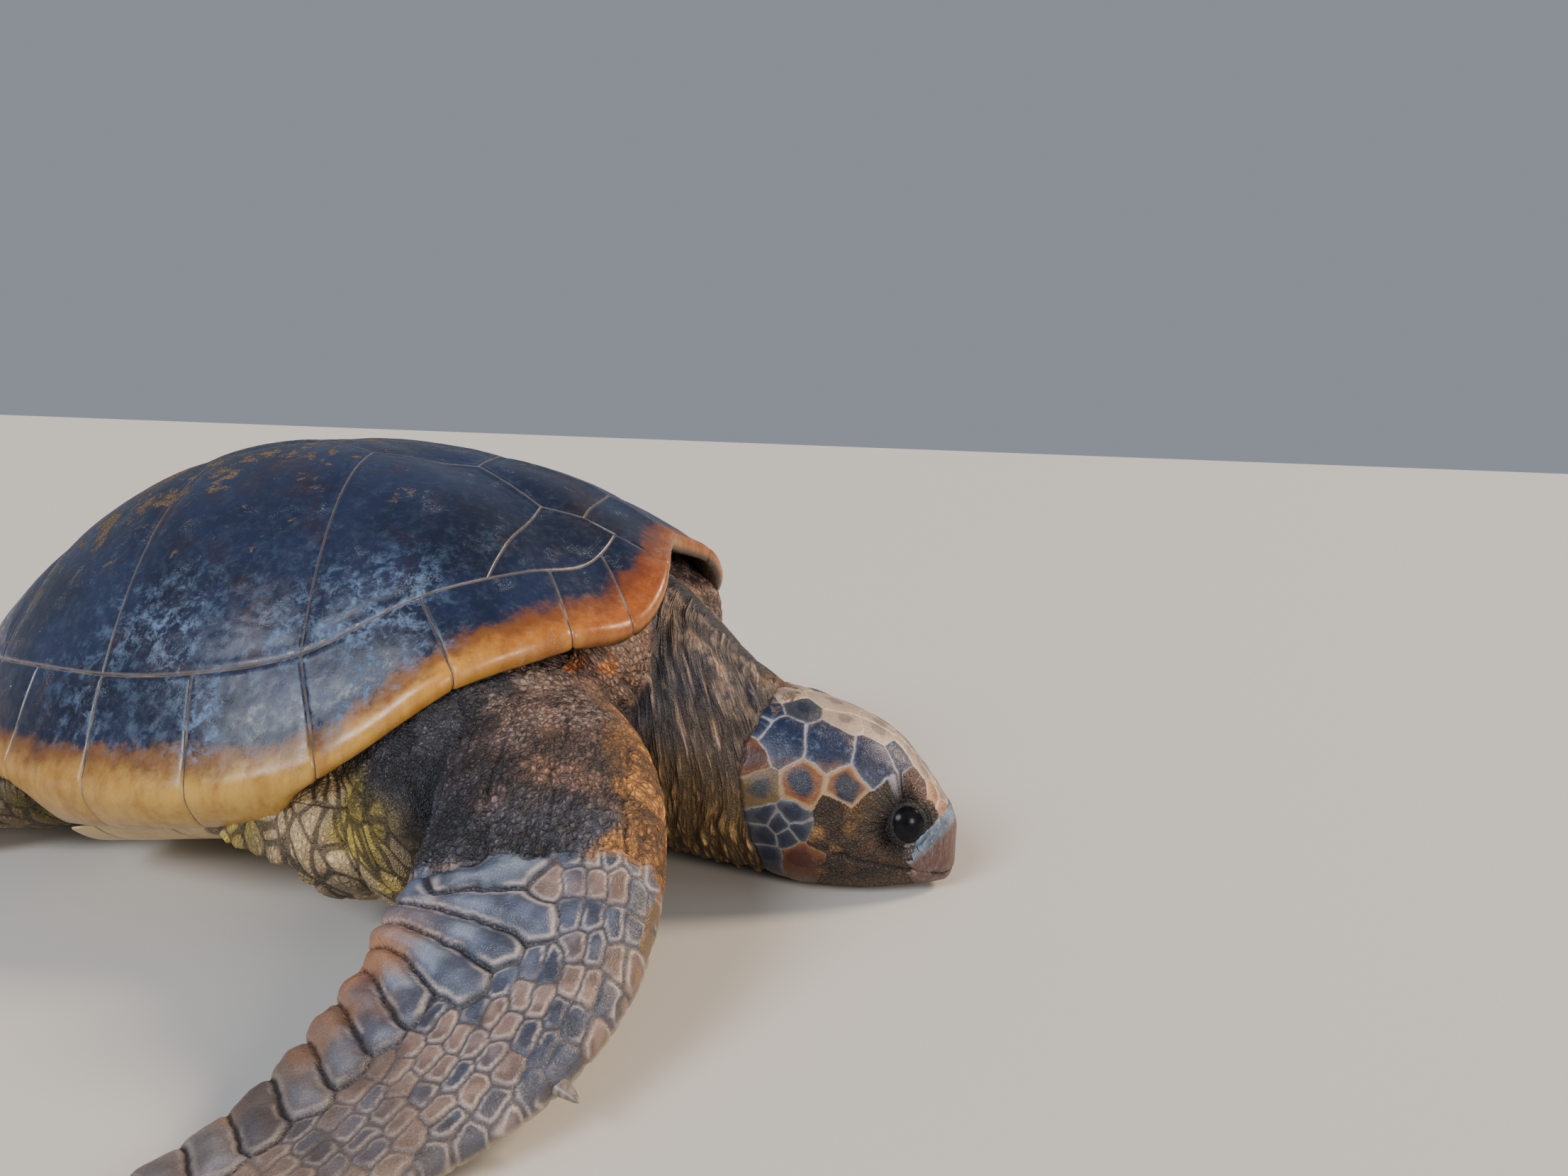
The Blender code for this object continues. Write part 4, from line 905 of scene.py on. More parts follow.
HIND_HALVES = (0.060, 0.056, 0.068, 0.044, 0.014)
HIND_THICKS = (0.050, 0.036, 0.015, 0.007, 0.004)
HIND_UPS = ((0, 0, 1), (0, -0.15, 1), (0, 0, 1), (0, 0, 1), (0, 0, 1))
# Upright ovals of the neck and the tail: centre, half width and half height.
NECK_SECTIONS = (
    (0.470, 0, 0.160, 0.150, 0.115), (0.550, -0.008, 0.152, 0.138, 0.120),
    (0.610, -0.020, 0.130, 0.118, 0.120), (0.660, -0.033, 0.106, 0.098, 0.102),
    (0.710, -0.042, 0.088, 0.088, 0.086), (0.760, HEAD_Y, 0.082, 0.085, 0.078),
)
TAIL = (
    (-0.010, 0, 0.062, 0.045, 0.0405), (-0.080, 0, 0.044, 0.036, 0.0324), (-0.135, 0, 0.029, 0.024, 0.0216),
    (-0.175, 0, 0.018, 0.015, 0.0135), (-0.192, 0, 0.013, 0.006, 0.0054),
)
# Collar, arm pits, shoulders and hips, each with its half sizes. Those off the middle stand on both sides.
ELLIPSOIDS = (
    ((0.548, 0.090, 0.222), (0.050, 0.058, 0.060)), ((0.580, 0.115, 0.198), (0.037, 0.060, 0.060)),
    ((0.488, 0.262, 0.095), (0.062, 0.056, 0.068)), ((0.485, 0.180, 0.125), (0.130, 0.110, 0.100)),
    ((0.400, 0.225, 0.075), (0.120, 0.080, 0.055)), ((0.040, 0.140, 0.075), (0.110, 0.100, 0.060)),
    ((0.010, 0.0, 0.075), (0.120, 0.110, 0.055)),
)
# Sections of the head: distance along, top, bottom, half width, height of the widest line.
HEAD_SECTIONS = (
    (0.7103, 0.170, 0.006, 0.080, 0.085), (0.740, 0.166, -0.001, 0.083, 0.080),
    (0.770, 0.157, -0.002, 0.079, 0.074), (0.800, 0.146, -0.002, 0.069, 0.068),
    (0.827, 0.129, 0.001, 0.0565, 0.062), (0.849, 0.104, 0.004, 0.043, 0.056),
    (0.864, 0.084, 0.007, 0.031, 0.050), (0.873, 0.070, 0.011, 0.020, 0.045),
    (0.877, 0.060, 0.020, 0.010, 0.040),
)
# The body's core under the plates: its border, gaps to the shells, and cut as shares of border and height.
CORE_BORDER = 0.835
CORE_BELOW = 0.014
CORE_ABOVE = 0.006
CORE_PROFILE = ((0.55, 0), (0.97, 0), (1, 0.12), (1, 0.9), (0.96, 1), (0.8, 1), (0.55, 1), (0.2, 1))
MOUTH_LINE = np.array(((0.785, 0.0445), (0.797, 0.0385), (0.835, 0.0275), (0.868, 0.0185), (0.895, 0.0165)))
BEAKS = {
    "beak_upper": (
        (0.930, 0.0170), (0.868, 0.0190), (0.846, 0.0245), (0.838, 0.0350),
        (0.846, 0.0540), (0.860, 0.0680), (0.868, 0.0760), (0.930, 0.0800),
    ),
    "beak_lower": (
        (0.930, 0.0164), (0.868, 0.0180), (0.846, 0.0235), (0.838, 0.0230),
        (0.846, 0.0050), (0.850, -0.030), (0.930, -0.030),
    ),
}


class Limb:
    """A limb's smooth middle line, with its directions and half sizes at many shares of its length."""

    def __init__(self, knots, places, halves, thicks, ups, side):
        mirror = np.array((1, -side, 1))
        at = np.linspace(0, 1, 240)
        self.side, self.share = side, at
        self.centre = smooth_values(knots, np.array(places) * mirror, at)
        self.along = unit(np.gradient(self.centre, axis=0))
        self.across = unit(np.cross(smooth_values(knots, np.array(ups) * mirror, at), self.along))
        self.up = unit(np.cross(self.along, self.across))
        self.wide = smooth_values(knots, halves, at)
        self.thick = smooth_values(knots, thicks, at)
        steps = np.linalg.norm(np.diff(self.centre, axis=0), axis=1)
        self.length = np.concatenate([[0], np.cumsum(steps)])
        self.lead = np.sign(self.across[len(at) // 2, 0])

    def form(self, picks, power, lead):
        """A closed form round the middle line, flatter with a smaller power, thicker towards its lead."""
        u, v = circle(64)
        v = np.sign(v) * np.abs(v) ** power
        centre, across, up = (a[picks][:, None] for a in (self.centre, self.across, self.up))
        wide, thick = (a[picks][:, None, None] for a in (self.wide, self.thick))
        return closed_form(centre + across * wide * u[None, :, None]
                           + up * thick * (v * (1 + lead * u))[None, :, None])

    def coordinates(self, p):
        """Share, length along, offset towards the leading edge, height, and distance as a share of size."""
        out = np.zeros((len(p), 5))
        for start in range(0, len(p), 60000):
            q = p[start : start + 60000]
            away = (q**2).sum(1)[:, None] + (self.centre**2).sum(1)[None] - 2 * q @ self.centre.T
            i = away.argmin(1)
            d = q - self.centre[i]
            ahead, across, up = ((d * a[i]).sum(1) for a in (self.along, self.across, self.up))
            size = np.hypot(across / self.wide[i], up / self.thick[i])
            size = np.maximum(size, 1 + np.abs(ahead) / 0.02 * (np.abs(ahead) > 0.01))
            values = [self.share[i], self.length[i] + ahead, across * self.lead, up, size]
            out[start : start + 60000] = np.stack(values, -1)
        return out


def tube(sections, knots, rings, around):
    """A closed form through upright ovals."""
    cut = smooth_values(knots, sections, np.linspace(knots[0], knots[-1], rings))
    x, y, z, wide, tall = (cut[:, i : i + 1] for i in range(5))
    cos, sin = circle(around)
    return closed_form(np.stack(np.broadcast_arrays(x, y + wide * cos, z + tall * sin), -1))


def sphere_form(centre, radii):
    cos, sin = circle(48)
    lift = np.linspace(-1.5, 1.5, 25)[:, None]
    rings = np.stack(np.broadcast_arrays(np.cos(lift) * cos, np.cos(lift) * sin, np.sin(lift)), -1)
    return closed_form(rings * np.array(radii) + np.array(centre))


def head_form():
    table = np.array(HEAD_SECTIONS)
    x = np.concatenate([np.linspace(table[0, 0], 0.86, 60), np.linspace(0.8615, 0.877, 14)])
    top, bottom, wide, widest = smooth_values(table[:, 0], table[:, 1:], x).T[..., None]
    u, v = (np.sign(a) * np.abs(a) ** 0.88 for a in circle(90))
    reach = np.where(v > 0, top - widest, widest - bottom)
    return closed_form(np.stack(np.broadcast_arrays(x[:, None], HEAD_Y + wide * u, widest + reach * v), -1))


def core_form():
    """The body between carapace and belly shell."""
    rings = []
    turn = np.linspace(-180, 180, 121)[:-1]
    bottom = BELLY_TOP + CORE_ABOVE
    for share, height in CORE_PROFILE:
        rho = CORE_BORDER * share
        z = bottom + (top_height(rho, turn) - CORE_BELOW - bottom) * height
        rings.append(tilted(np.concatenate([plan(rho, turn), z[:, None]], 1)))
    return closed_form(rings)


RIGHT_FORE = Limb(FORE_KNOTS, FORE_RIGHT, FORE_HALVES, FORE_THICKS, FORE_UPS, -1)
LEFT_FORE = Limb(FORE_KNOTS, FORE_LEFT, FORE_HALVES, FORE_THICKS, FORE_UPS, 1)
RIGHT_HIND = Limb(HIND_KNOTS, HIND_PLACES, HIND_HALVES, HIND_THICKS, HIND_UPS, -1)
LEFT_HIND = Limb(HIND_KNOTS, HIND_PLACES, HIND_HALVES, HIND_THICKS, HIND_UPS, 1)
# Each limb with the shares of its length where its blade starts and its round arm or thigh ends, the scale
# of its plates, and the shares where those begin and are complete.
LIMB_PARTS = (
    (RIGHT_FORE, 0.36, 0.44, 1.0, 0.428, 0.446), (LEFT_FORE, 0.36, 0.44, 1.0, 0.428, 0.446),
    (RIGHT_HIND, 0.5, 0.57, 0.62, 0.50, 0.60), (LEFT_HIND, 0.5, 0.57, 0.62, 0.50, 0.60),
)


def merged(forms):
    verts, tris, count = [], [], 0
    for v, t in forms:
        verts.append(v)
        tris.append(t + count)
        count += len(v)
    return np.concatenate(verts), np.concatenate(tris)


def blended_forms():
    """All the soft forms blended into one closed skin by small cubes."""
    forms = [core_form(), tube(NECK_SECTIONS, [cut[0] for cut in NECK_SECTIONS], 30, 72)]
    for limb, elbow, end, *_ in LIMB_PARTS:
        last = len(limb.share) - 1
        forms.append(limb.form(np.arange(0, int(end * last), 4), 1.0, 0.0))
        blade = np.append(np.arange(int(elbow * last), last + 1, 3), last)
        forms.append(limb.form(blade, 0.8, BLADE_LEAD * limb.lead))
    for (x, y, z), radii in ELLIPSOIDS:
        forms += [sphere_form((x, y * side, z), radii) for side in ((-1, 1) if y else (1,))]
    forms.append(tube(TAIL, np.linspace(0, 1, len(TAIL)), 24, 40))
    forms.append(head_form())
    whole = add_object("forms", *merged(forms))
    remesh = whole.modifiers.new("blend", "REMESH")
    remesh.mode = "VOXEL"
    remesh.voxel_size = VOXEL
    made = whole.evaluated_get(bpy.context.evaluated_depsgraph_get()).to_mesh()
    made.calc_loop_triangles()
    p = np.empty(len(made.vertices) * 3, np.float32)
    made.vertices.foreach_get("co", p)
    tris = np.empty(len(made.loop_triangles) * 3, np.int32)
    made.loop_triangles.foreach_get("vertices", tris)
    bpy.data.objects.remove(whole)
    return p.reshape(-1, 3).astype(float), tris.reshape(-1, 3).astype(np.int64)


def edge_pairs(tris):
    """Both ends of every triangle's sides, side by side."""
    return np.sort(np.concatenate([tris[:, [0, 1]], tris[:, [1, 2]], tris[:, [2, 0]]]), axis=1)


def soften(p, tris, rounds):
    """Evens out a mesh without shrinking it."""
    pairs = np.unique(edge_pairs(tris), axis=0)
    count = np.bincount(pairs.ravel(), minlength=len(p))[:, None].clip(1)
    for turn in range(rounds * 2):
        total = np.zeros_like(p)
        for axis in range(3):
            total[:, axis] = np.bincount(pairs[:, 0], p[pairs[:, 1], axis], len(p))
            total[:, axis] += np.bincount(pairs[:, 1], p[pairs[:, 0], axis], len(p))
        p = p + (0.5 if turn % 2 == 0 else -0.52) * (total / count - p)
    return p


def refine(p, tris, size):
    """Splits every edge longer than the wanted size at its middle."""
    pairs = edge_pairs(tris)
    unique, inverse = np.unique(pairs[:, 0] * len(p) + pairs[:, 1], return_inverse=True)
    a, b = unique // len(p), unique % len(p)
    middle = (p[a] + p[b]) / 2
    long = np.linalg.norm(p[a] - p[b], axis=1) > 1.4 * size(middle)
    index = np.full(len(unique), -1)
    index[long] = len(p) + np.arange(long.sum())
    p = np.concatenate([p, middle[long]])
    m = index[inverse].reshape(3, -1).T
    split = (m >= 0).sum(1)
    out = [tris[split == 0]]

    def add(pick, order, *made):
        """Triangles made of the picked ones' corners, 0 to 2, and their sides' new middles, 3 to 5."""
        points = np.concatenate([tris[pick][:, order], m[pick][:, order]], 1)
        out.extend(points[:, corners] for corners in made)

    add(split == 3, [0, 1, 2], [0, 3, 5], [3, 1, 4], [5, 4, 2], [3, 4, 5])
    for turn in range(3):
        order = [turn, (turn + 1) % 3, (turn + 2) % 3]
        add((split == 1) & (m[:, turn] >= 0), order, [0, 3, 2], [3, 1, 2])
        add((split == 2) & (m[:, turn] < 0), order, [0, 1, 4], [0, 4, 5], [5, 4, 2])
    return p, np.concatenate(out)


def point_normals(p, tris):
    face = np.cross(p[tris[:, 1]] - p[tris[:, 0]], p[tris[:, 2]] - p[tris[:, 0]])
    total = np.zeros_like(p)
    for corner in range(3):
        for axis in range(3):
            total[:, axis] += np.bincount(tris[:, corner], face[:, axis], len(p))
    return unit(total)


def keep_only(tris, kept):
    """The triangles whose points are all kept, numbered anew, and the numbers of their points."""
    tris = tris[kept[tris].all(1)]
    used = np.unique(tris)
    index = np.zeros(len(kept), np.int64)
    index[used] = np.arange(len(used))
    return used, index[tris]


def eye_place(side):
    return np.array((EYE[0], HEAD_Y + side * EYE[1], EYE[2]))


def eye_axes(side):
    out = unit(np.array(EYE_OUT) * np.array((1, side, 1)))
    tall = unit(np.array(EYE_UP) - out * float(np.array(EYE_UP) @ out))
    return out, tall, np.cross(out, tall)


def eye_surface(facing):
    """Distance from the middle of an eyeball to its surface, flatter in front, by how far it faces out."""
    facing = np.maximum(facing, 0)
    return EYE_RADIUS * EYE_FLATNESS / np.sqrt(facing**2 + (1 - facing**2) * EYE_FLATNESS**2)


def eye_ratio(p, side):
    """Place round an eye: share of the way to the edge of the opening between the lids, distance from the
    eye's middle, direction and turn."""
    d = p - eye_place(side)
    r = np.linalg.norm(d, axis=1)
    out, tall, wide = eye_axes(side)
    d = d / np.maximum(r, 1e-9)[:, None]
    reach = np.arccos(np.clip(d @ out, -1, 1))
    across, up = unit(np.stack([d @ wide, d @ tall], -1)).T
    size = OPENING_WIDE * OPENING_TALL / np.hypot(OPENING_TALL * across, OPENING_WIDE * up)
    return reach / size, r, d, np.arctan2(up, across)


def shape_lids(p):
    """Opens the lids over the eyeballs, and wraps their rims round them."""
    for side, _ in SIDES:
        near = np.where(np.linalg.norm(p - eye_place(side), axis=1) < 0.045)[0]
        ratio, r, d, turn = eye_ratio(p[near], side)
        deep = eye_surface(d @ eye_axes(side)[0]) - LID_HOLLOW
        lid = EYE_RADIUS + LID_THICK * step(1.0, 1.24, ratio) + 0.0008 * np.sin(turn)
        lid = deep + (lid - deep) * step(0.93, 1.01, ratio)
        clear = EYE_RADIUS + EYE_CLEAR
        wanted = np.where(ratio < 1.25, lid, np.maximum(r, clear))
        share = np.maximum(step(1.75, 1.22, ratio), step(2.1, 1.8, ratio) * (r < clear))
        p[near] = eye_place(side) + d * (r + (wanted - r) * share)[:, None]
    return p


def keep_clear(p):
    """Keeps the skin under the carapace, above the belly shell, and above the floor."""
    l = level(p)
    rho, angle = disk(l[:, :2])
    under = top_height(np.minimum(rho, 1), angle) - MARGINAL_THICK - 0.004
    outside = rim_height(angle) - 0.011 + 0.0045 * step(34, 20, np.abs(angle))
    outside = outside + np.maximum(rho - 1, 0) * 0.9
    limit = np.where(rho < 0.945, under, outside + (under - outside) * step(1.0, 0.945, rho))
    l[:, 2] = np.minimum(l[:, 2], np.where(rho > 1.05, FAR, limit))
    x, y = l[:, 0], np.abs(l[:, 1])
    away = np.maximum(y - belly_half_width(x), 0)
    away = np.maximum(away, np.maximum(x - BELLY_FRONT, BELLY_REAR - x))
    floor = belly_height(x, y) + 0.007 - 1.3 * away
    inside = (away < 0.05) & (l[:, 2] > -0.04)
    l[:, 2] = np.where(inside, np.maximum(l[:, 2], floor), l[:, 2])
    return above_floor(tilted(l), FLOOR_GAP)


def above_floor(p, height):
    p[:, 2] = np.maximum(p[:, 2], height)
    return p


def belly_height(x, y):
    rear = np.maximum(BELLY_TURN_X - x, 0)
    front = np.maximum(x - 0.16, 0)
    return BELLY_ROUND * rear**2 + 0.9 * front**2 + 0.028 * (np.abs(y) / (0.8 * HALF_WIDTH)) ** 4


def belly_half_width(x):
    front = 0.150 * np.maximum(1 - (np.maximum(x - 0.06, 0) / (BELLY_FRONT - 0.06)) ** 2.6, 0) ** 0.46
    rear = 0.132 * np.maximum(1 - (np.maximum(-x - 0.04, 0) / (-BELLY_REAR - 0.04)) ** 2.2, 0) ** 0.52
    along = np.asarray(x, float) / HALF_LENGTH
    bridge = BRIDGE_BORDER * HALF_WIDTH * breadth(along)
    bridge = bridge * np.sqrt(np.maximum(1 - (along / BRIDGE_BORDER) ** 2, 0))
    lobe = np.minimum(front, rear)
    return np.maximum(lobe, 0.012) + (bridge - lobe) * along_bridge(x, 0.02)


# --- Skin work: each gives relief, colour, crease shade (painted shade), horn, fine weave and the weave's coordinates ---

FOLD_TOP_X = 0.585
# The head plates' rear border: heights, and the distance along at each.
HEAD_REAR_UP = (0.0, 0.040, 0.070, 0.100, 0.140, 0.160, 0.200)
HEAD_REAR_ALONG = (0.722, 0.711, 0.704, 0.699, 0.702, 0.712, 0.716)
NECK_ROPES = (
    ((0.600, -0.040, 0.262), (0.712, -0.060, 0.172)),
    ((0.605, -0.062, 0.245), (0.705, -0.108, 0.155)),
)
NOSTRIL = (0.8705, 0.0075, 0.0735)
SHOULDER_MIDDLE = (0.500, -0.170, 0.105)
SHOULDER_FLECKS = ((0.568, -0.173, 0.205), (0.594, -0.169, 0.205))

NAVY, SPOTTED, FADED, SLATE, BROWN, CHEEK, CREAM, PINK, WRINKLED = range(9)
# Head plates, from the crown down to the jaw: along, off the middle, up, how far their borders reach out,
# kind. Both sides alike.
HEAD_PLATES = (
    (0.731, 0.066, 0.137, 0.0070, NAVY), (0.768, 0.059, 0.134, 0.0075, NAVY),
    (0.806, 0.049, 0.119, 0.0045, NAVY), (0.827, 0.025, 0.121, 0.0000, NAVY),
    (0.715, 0.048, 0.158, -0.004, NAVY), (0.709, 0.060, 0.147, -0.003, NAVY),
    (0.742, 0.035, 0.161, 0.000, SLATE), (0.778, 0.028, 0.153, 0.000, CREAM),
    (0.806, 0.015, 0.141, 0.000, CREAM), (0.708, 0.073, 0.123, 0.000, BROWN),
    (0.750, 0.078, 0.106, 0.0045, SPOTTED), (0.787, 0.069, 0.102, 0.0035, SPOTTED),
    (0.717, 0.079, 0.100, 0.002, FADED), (0.744, 0.082, 0.082, -0.002, SLATE),
    (0.722, 0.080, 0.077, -0.002, SLATE), (0.733, 0.081, 0.071, -0.002, SLATE),
    (0.722, 0.078, 0.059, -0.001, SLATE), (0.740, 0.080, 0.058, -0.002, SLATE),
    (0.724, 0.071, 0.040, -0.001, SLATE), (0.751, 0.080, 0.067, -0.003, SLATE),
    (0.751, 0.074, 0.041, 0.003, BROWN), (0.771, 0.077, 0.063, 0.000, CHEEK),
    (0.794, 0.071, 0.073, 0.000, CHEEK), (0.778, 0.075, 0.084, 0.000, CHEEK),
    (0.797, 0.069, 0.056, 0.000, CHEEK), (0.786, 0.066, 0.035, 0.000, CHEEK),
    (0.802, 0.064, 0.086, -0.004, CHEEK), (0.859, 0.017, 0.090, 0.000, PINK),
    (0.868, 0.015, 0.077, -0.001, PINK), (0.844, 0.030, 0.100, 0.000, WRINKLED),
    (0.848, 0.008, 0.104, 0.000, CREAM), (0.864, 0.006, 0.086, 0.000, CREAM),
    (0.724, 0.016, 0.166, 0.000, CREAM), (0.705, 0.028, 0.166, -0.002, SLATE),
    (0.830, 0.009, 0.120, 0.000, CREAM),
)
HEAD_MIDDLE = (
    (0.764, 0.0, 0.156, 0.008, CREAM), (0.805, 0.0, 0.142, 0.001, CREAM),
    (0.840, 0.0, 0.110, -0.002, CREAM),
)
# Centre, ring and border tones of each kind of head plate, and how far the centre tone reaches.
PLATE_TONES = (
    ((0.012, 0.021, 0.060), (0.050, 0.032, 0.040), (0.42, 0.42, 0.48)),
    ((0.010, 0.014, 0.034), (0.200, 0.072, 0.020), (0.48, 0.34, 0.19)),
    ((0.040, 0.042, 0.048), (0.135, 0.085, 0.038), (0.22, 0.17, 0.10)),
    ((0.015, 0.023, 0.043), (0.040, 0.046, 0.062), (0.19, 0.195, 0.205)),
    ((0.060, 0.018, 0.014), (0.130, 0.045, 0.018), (0.26, 0.16, 0.09)),
    ((0.022, 0.014, 0.010), (0.230, 0.110, 0.030), (0.24, 0.14, 0.06)),
    ((0.260, 0.200, 0.170), (0.460, 0.350, 0.250), (0.62, 0.48, 0.36)),
    ((0.320, 0.140, 0.060), (0.420, 0.230, 0.130), (0.62, 0.46, 0.38)),
    ((0.100, 0.062, 0.048), (0.180, 0.105, 0.080), (0.12, 0.08, 0.06)),
)
PLATE_CENTRES = (0.0225, 0.0118, 0.0100, 0.0080, 0.0110, 0.0050, 0.0080, 0.0080, 0.0060)
# Other tones: single ones, and pairs that mottle into each other.
CROWN_BROWN, CROWN_FLECK = (0.125, 0.050, 0.022), (0.045, 0.065, 0.105)
CHEEK_MOTTLE = ((0.032, 0.021, 0.015), (0.330, 0.170, 0.055))
THROAT = (0.19, 0.125, 0.065)
LID_BORDER, LID_DARK, LID_OUTER = (0.40, 0.40, 0.45), (0.034, 0.024, 0.019), (0.070, 0.052, 0.036)
LID_ABOVE, TEAR = (0.200, 0.120, 0.095), (0.30, 0.29, 0.29)
# The fold trough tones are darker skin with painted shade in the folds.
FOLD_TROUGH_SHADED = ((0.160, 0.100, 0.040), (0.032, 0.032, 0.044))
FOLD_RIDGE = ((0.680, 0.450, 0.180), (0.360, 0.250, 0.190))
FOLD_SLATE, FOLD_OCHRE, ROPE = (0.085, 0.105, 0.165), (0.58, 0.24, 0.04), (0.430, 0.300, 0.205)
SHOULDER_SLATE = ((0.018, 0.022, 0.036), (0.070, 0.072, 0.095))
# The russet pair stands partly for the shoulder's own russet skin and partly for painted warm sunlight on
# it.
SHOULDER_RUSSET_SUNLIT = ((0.075, 0.042, 0.036), (0.310, 0.170, 0.110))
ARM_OCHRE, ARM_FLECK, ARM_LOW = (0.58, 0.250, 0.048), (0.60, 0.19, 0.035), (0.34, 0.25, 0.12)
PIT_CREAM = ((0.64, 0.48, 0.27), (0.58, 0.44, 0.085))
CREASE_DUST = (0.38, 0.28, 0.23)
# The pale dome tone is a painted highlight on the large flipper plates.
PAD_COOL, PAD_WARM, PAD_DOME_HIGHLIGHT = (0.080, 0.096, 0.145), (0.225, 0.155, 0.130), (0.34, 0.40, 0.50)
BLADE_GAP, BLADE_RING = (0.085, 0.080, 0.090), (0.56, 0.49, 0.45)
BLADE_REAR, BLADE_TIP, BLADE_LOW = (0.43, 0.190, 0.070), (0.150, 0.115, 0.095), (0.45, 0.36, 0.22)


def side_inside(p, outline):
    """Signed distance in side view to a closed outline, more than 0 inside."""
    q = p[:, (0, 2)]
    line = np.array((*outline, outline[0]))
    inside = np.zeros(len(q), bool)
    for a, b in zip(line, line[1:]):
        crosses = (a[1] > q[:, 1]) != (b[1] > q[:, 1])
        at = a[0] + (q[:, 1] - a[1]) / (b[1] - a[1] if b[1] != a[1] else 1e-9) * (b[0] - a[0])
        inside ^= crosses & (q[:, 0] < at)
    away = line_distance(q, line)
    return np.where(inside, away, -away)


def head_work(p):
    """Crown, cheek and jaw plates, the lids, the mouth and the nostrils."""
    table = [(x, y * side, *rest) for x, y, *rest in HEAD_PLATES for side in (-1, 1)]
    table = np.array(table + list(HEAD_MIDDLE))
    q = p - np.array((0, HEAD_Y, 0))
    wavy = q + 0.0013 * wander(q, 0.014, 31)
    edge, number = plates_by_seeds(wavy, table[:, [0, 1, 2, 0, 1, 2]], table[:, 3])
    centre, kind = table[number, :3], table[number, 4].astype(int)
    inner, ring, border = np.array(PLATE_TONES)[kind].transpose(1, 0, 2)
    blotch = 0.0022 * noise(q, 0.007, 41, 3)
    share = (np.linalg.norm(wavy - centre, axis=1) + blotch) / np.array(PLATE_CENTRES)[kind]
    # The dark crown plates are brown along their lower border.
    lower = step(0.008, 0.017, centre[:, 2] - wavy[:, 2] + blotch) * (kind == NAVY) * (centre[:, 2] > 0.125)
    colour = tinted(ring, inner, step(1.25, 0.75, share) * (1 - 0.85 * lower))
    colour = tinted(colour, CROWN_BROWN, 0.8 * lower * step(0.0, 0.6, 0.4 + noise(q, 0.012, 43, 2)))
    fleck = step(0.35, 0.95, noise(q, 0.0042, 49, 3)) * (kind == NAVY)
    colour = colour + fleck[:, None] * np.array(CROWN_FLECK)
    rim = step(0.0013, 0.0004, edge + 0.0003 * noise(q, 0.004, 42, 2)) * np.where(kind == CHEEK, 0.18, 0.85)
    broad_rim = np.where(kind == SPOTTED, 0.70, 0.10) * step(0.0042, 0.0010, edge)
    colour = tinted(colour, border, np.maximum(rim, broad_rim))
    # Cheeks and jaws: small soft scales, mottled ochre and dark brown.
    jaw = step(0.048, 0.030, p[:, 2]) * step(0.748, 0.775, p[:, 0])
    small, ident = cells(q, (0.0062, 0.0062, 0.0052), 51)
    mottled = step(-0.45, 0.75, noise(q, 0.013, 44, 3)) * (0.22 + 0.78 * step(0.806, 0.772, p[:, 0]))
    mottled = mottled * (0.35 + 0.65 * step(0.035, 0.055, p[:, 2]))
    soft = tinted(*CHEEK_MOTTLE, mottled) * (0.75 + 0.5 * ident)[:, None]
    cheek = np.maximum((kind == CHEEK) * 0.92, jaw)
    colour = tinted(tinted(colour, soft, cheek), THROAT, 0.6 * step(0.030, 0.008, p[:, 2]))
    # Dark lines along the plate borders, and painted shade in the creases between the cheek scales.
    crease_shade = 0.30 * step(0.0006, 0.0001, edge) * (1 - cheek) + 0.6 * cheek * step(0.12, 0.03, small)
    relief = (0.0008 * step(0, 0.0014, edge) + 0.0006 * step(0.001, 0.008, edge)) * (1 - 0.6 * cheek)
    relief += cheek * 0.0008 * step(0.0, 0.16, small) + 0.00025 * noise(q, 0.012, 45, 2)
    horny, weave = 1 - 0.75 * cheek, 0.75 * cheek
    # Lids: dark and finely wrinkled round the opening, with painted shade darkening the socket next to the
    # eyeball.
    for side, _ in SIDES:
        ratio, away, _, turn = eye_ratio(p, side)
        rear, above = -side * np.cos(turn), np.sin(turn)
        reach = away + 0.0030 * noise(q, 0.009, 46, 2) - 0.0160 * np.maximum(0.75 * above + 0.66 * rear, 0)
        colour = tinted(colour, LID_BORDER, hill(reach - 0.0304, 0.0014) * (kind == NAVY) * (away < 0.05))
        patch = (kind == WRINKLED) * (side * q[:, 1] > 0) * step(0, 0.0015, edge)
        lid = np.maximum(step(0.0305, 0.0285, reach), patch)
        folds = np.sin((ratio * 6.0 + 0.35 * noise(q, 0.008, 47, 2)) * 2 * np.pi)
        small, _ = cells(q, (0.0034, 0.0034, 0.0028), 52)
        outer = step(0.021, 0.029, away)
        tone = tinted(np.array(LID_DARK) * (1 + 0.7 * noise(q, 0.008, 48, 2))[:, None], LID_OUTER, outer)
        tone = tinted(tone, LID_ABOVE, outer * step(0.0, 0.6, above) * step(0.30, -0.15, rear))
        # Painted shade: the lid skin next to the eyeball is darkened almost to black, as in a shaded
        # socket.
        tone = np.maximum(tone, 0.008) * (0.05 + 0.95 * step(0.0198, 0.0240, away))[:, None]
        tear = step(0.34, 0.16, np.abs(turn + 1.45)) * step(1.02, 1.10, ratio) * step(1.30, 1.22, ratio)
        colour = tinted(colour, tinted(tone, TEAR, tear), lid)
        wrinkled = 0.00045 * folds * step(1.04, 1.16, ratio) + 0.0006 * step(0, 0.15, small)
        relief = between(relief, wrinkled, lid)
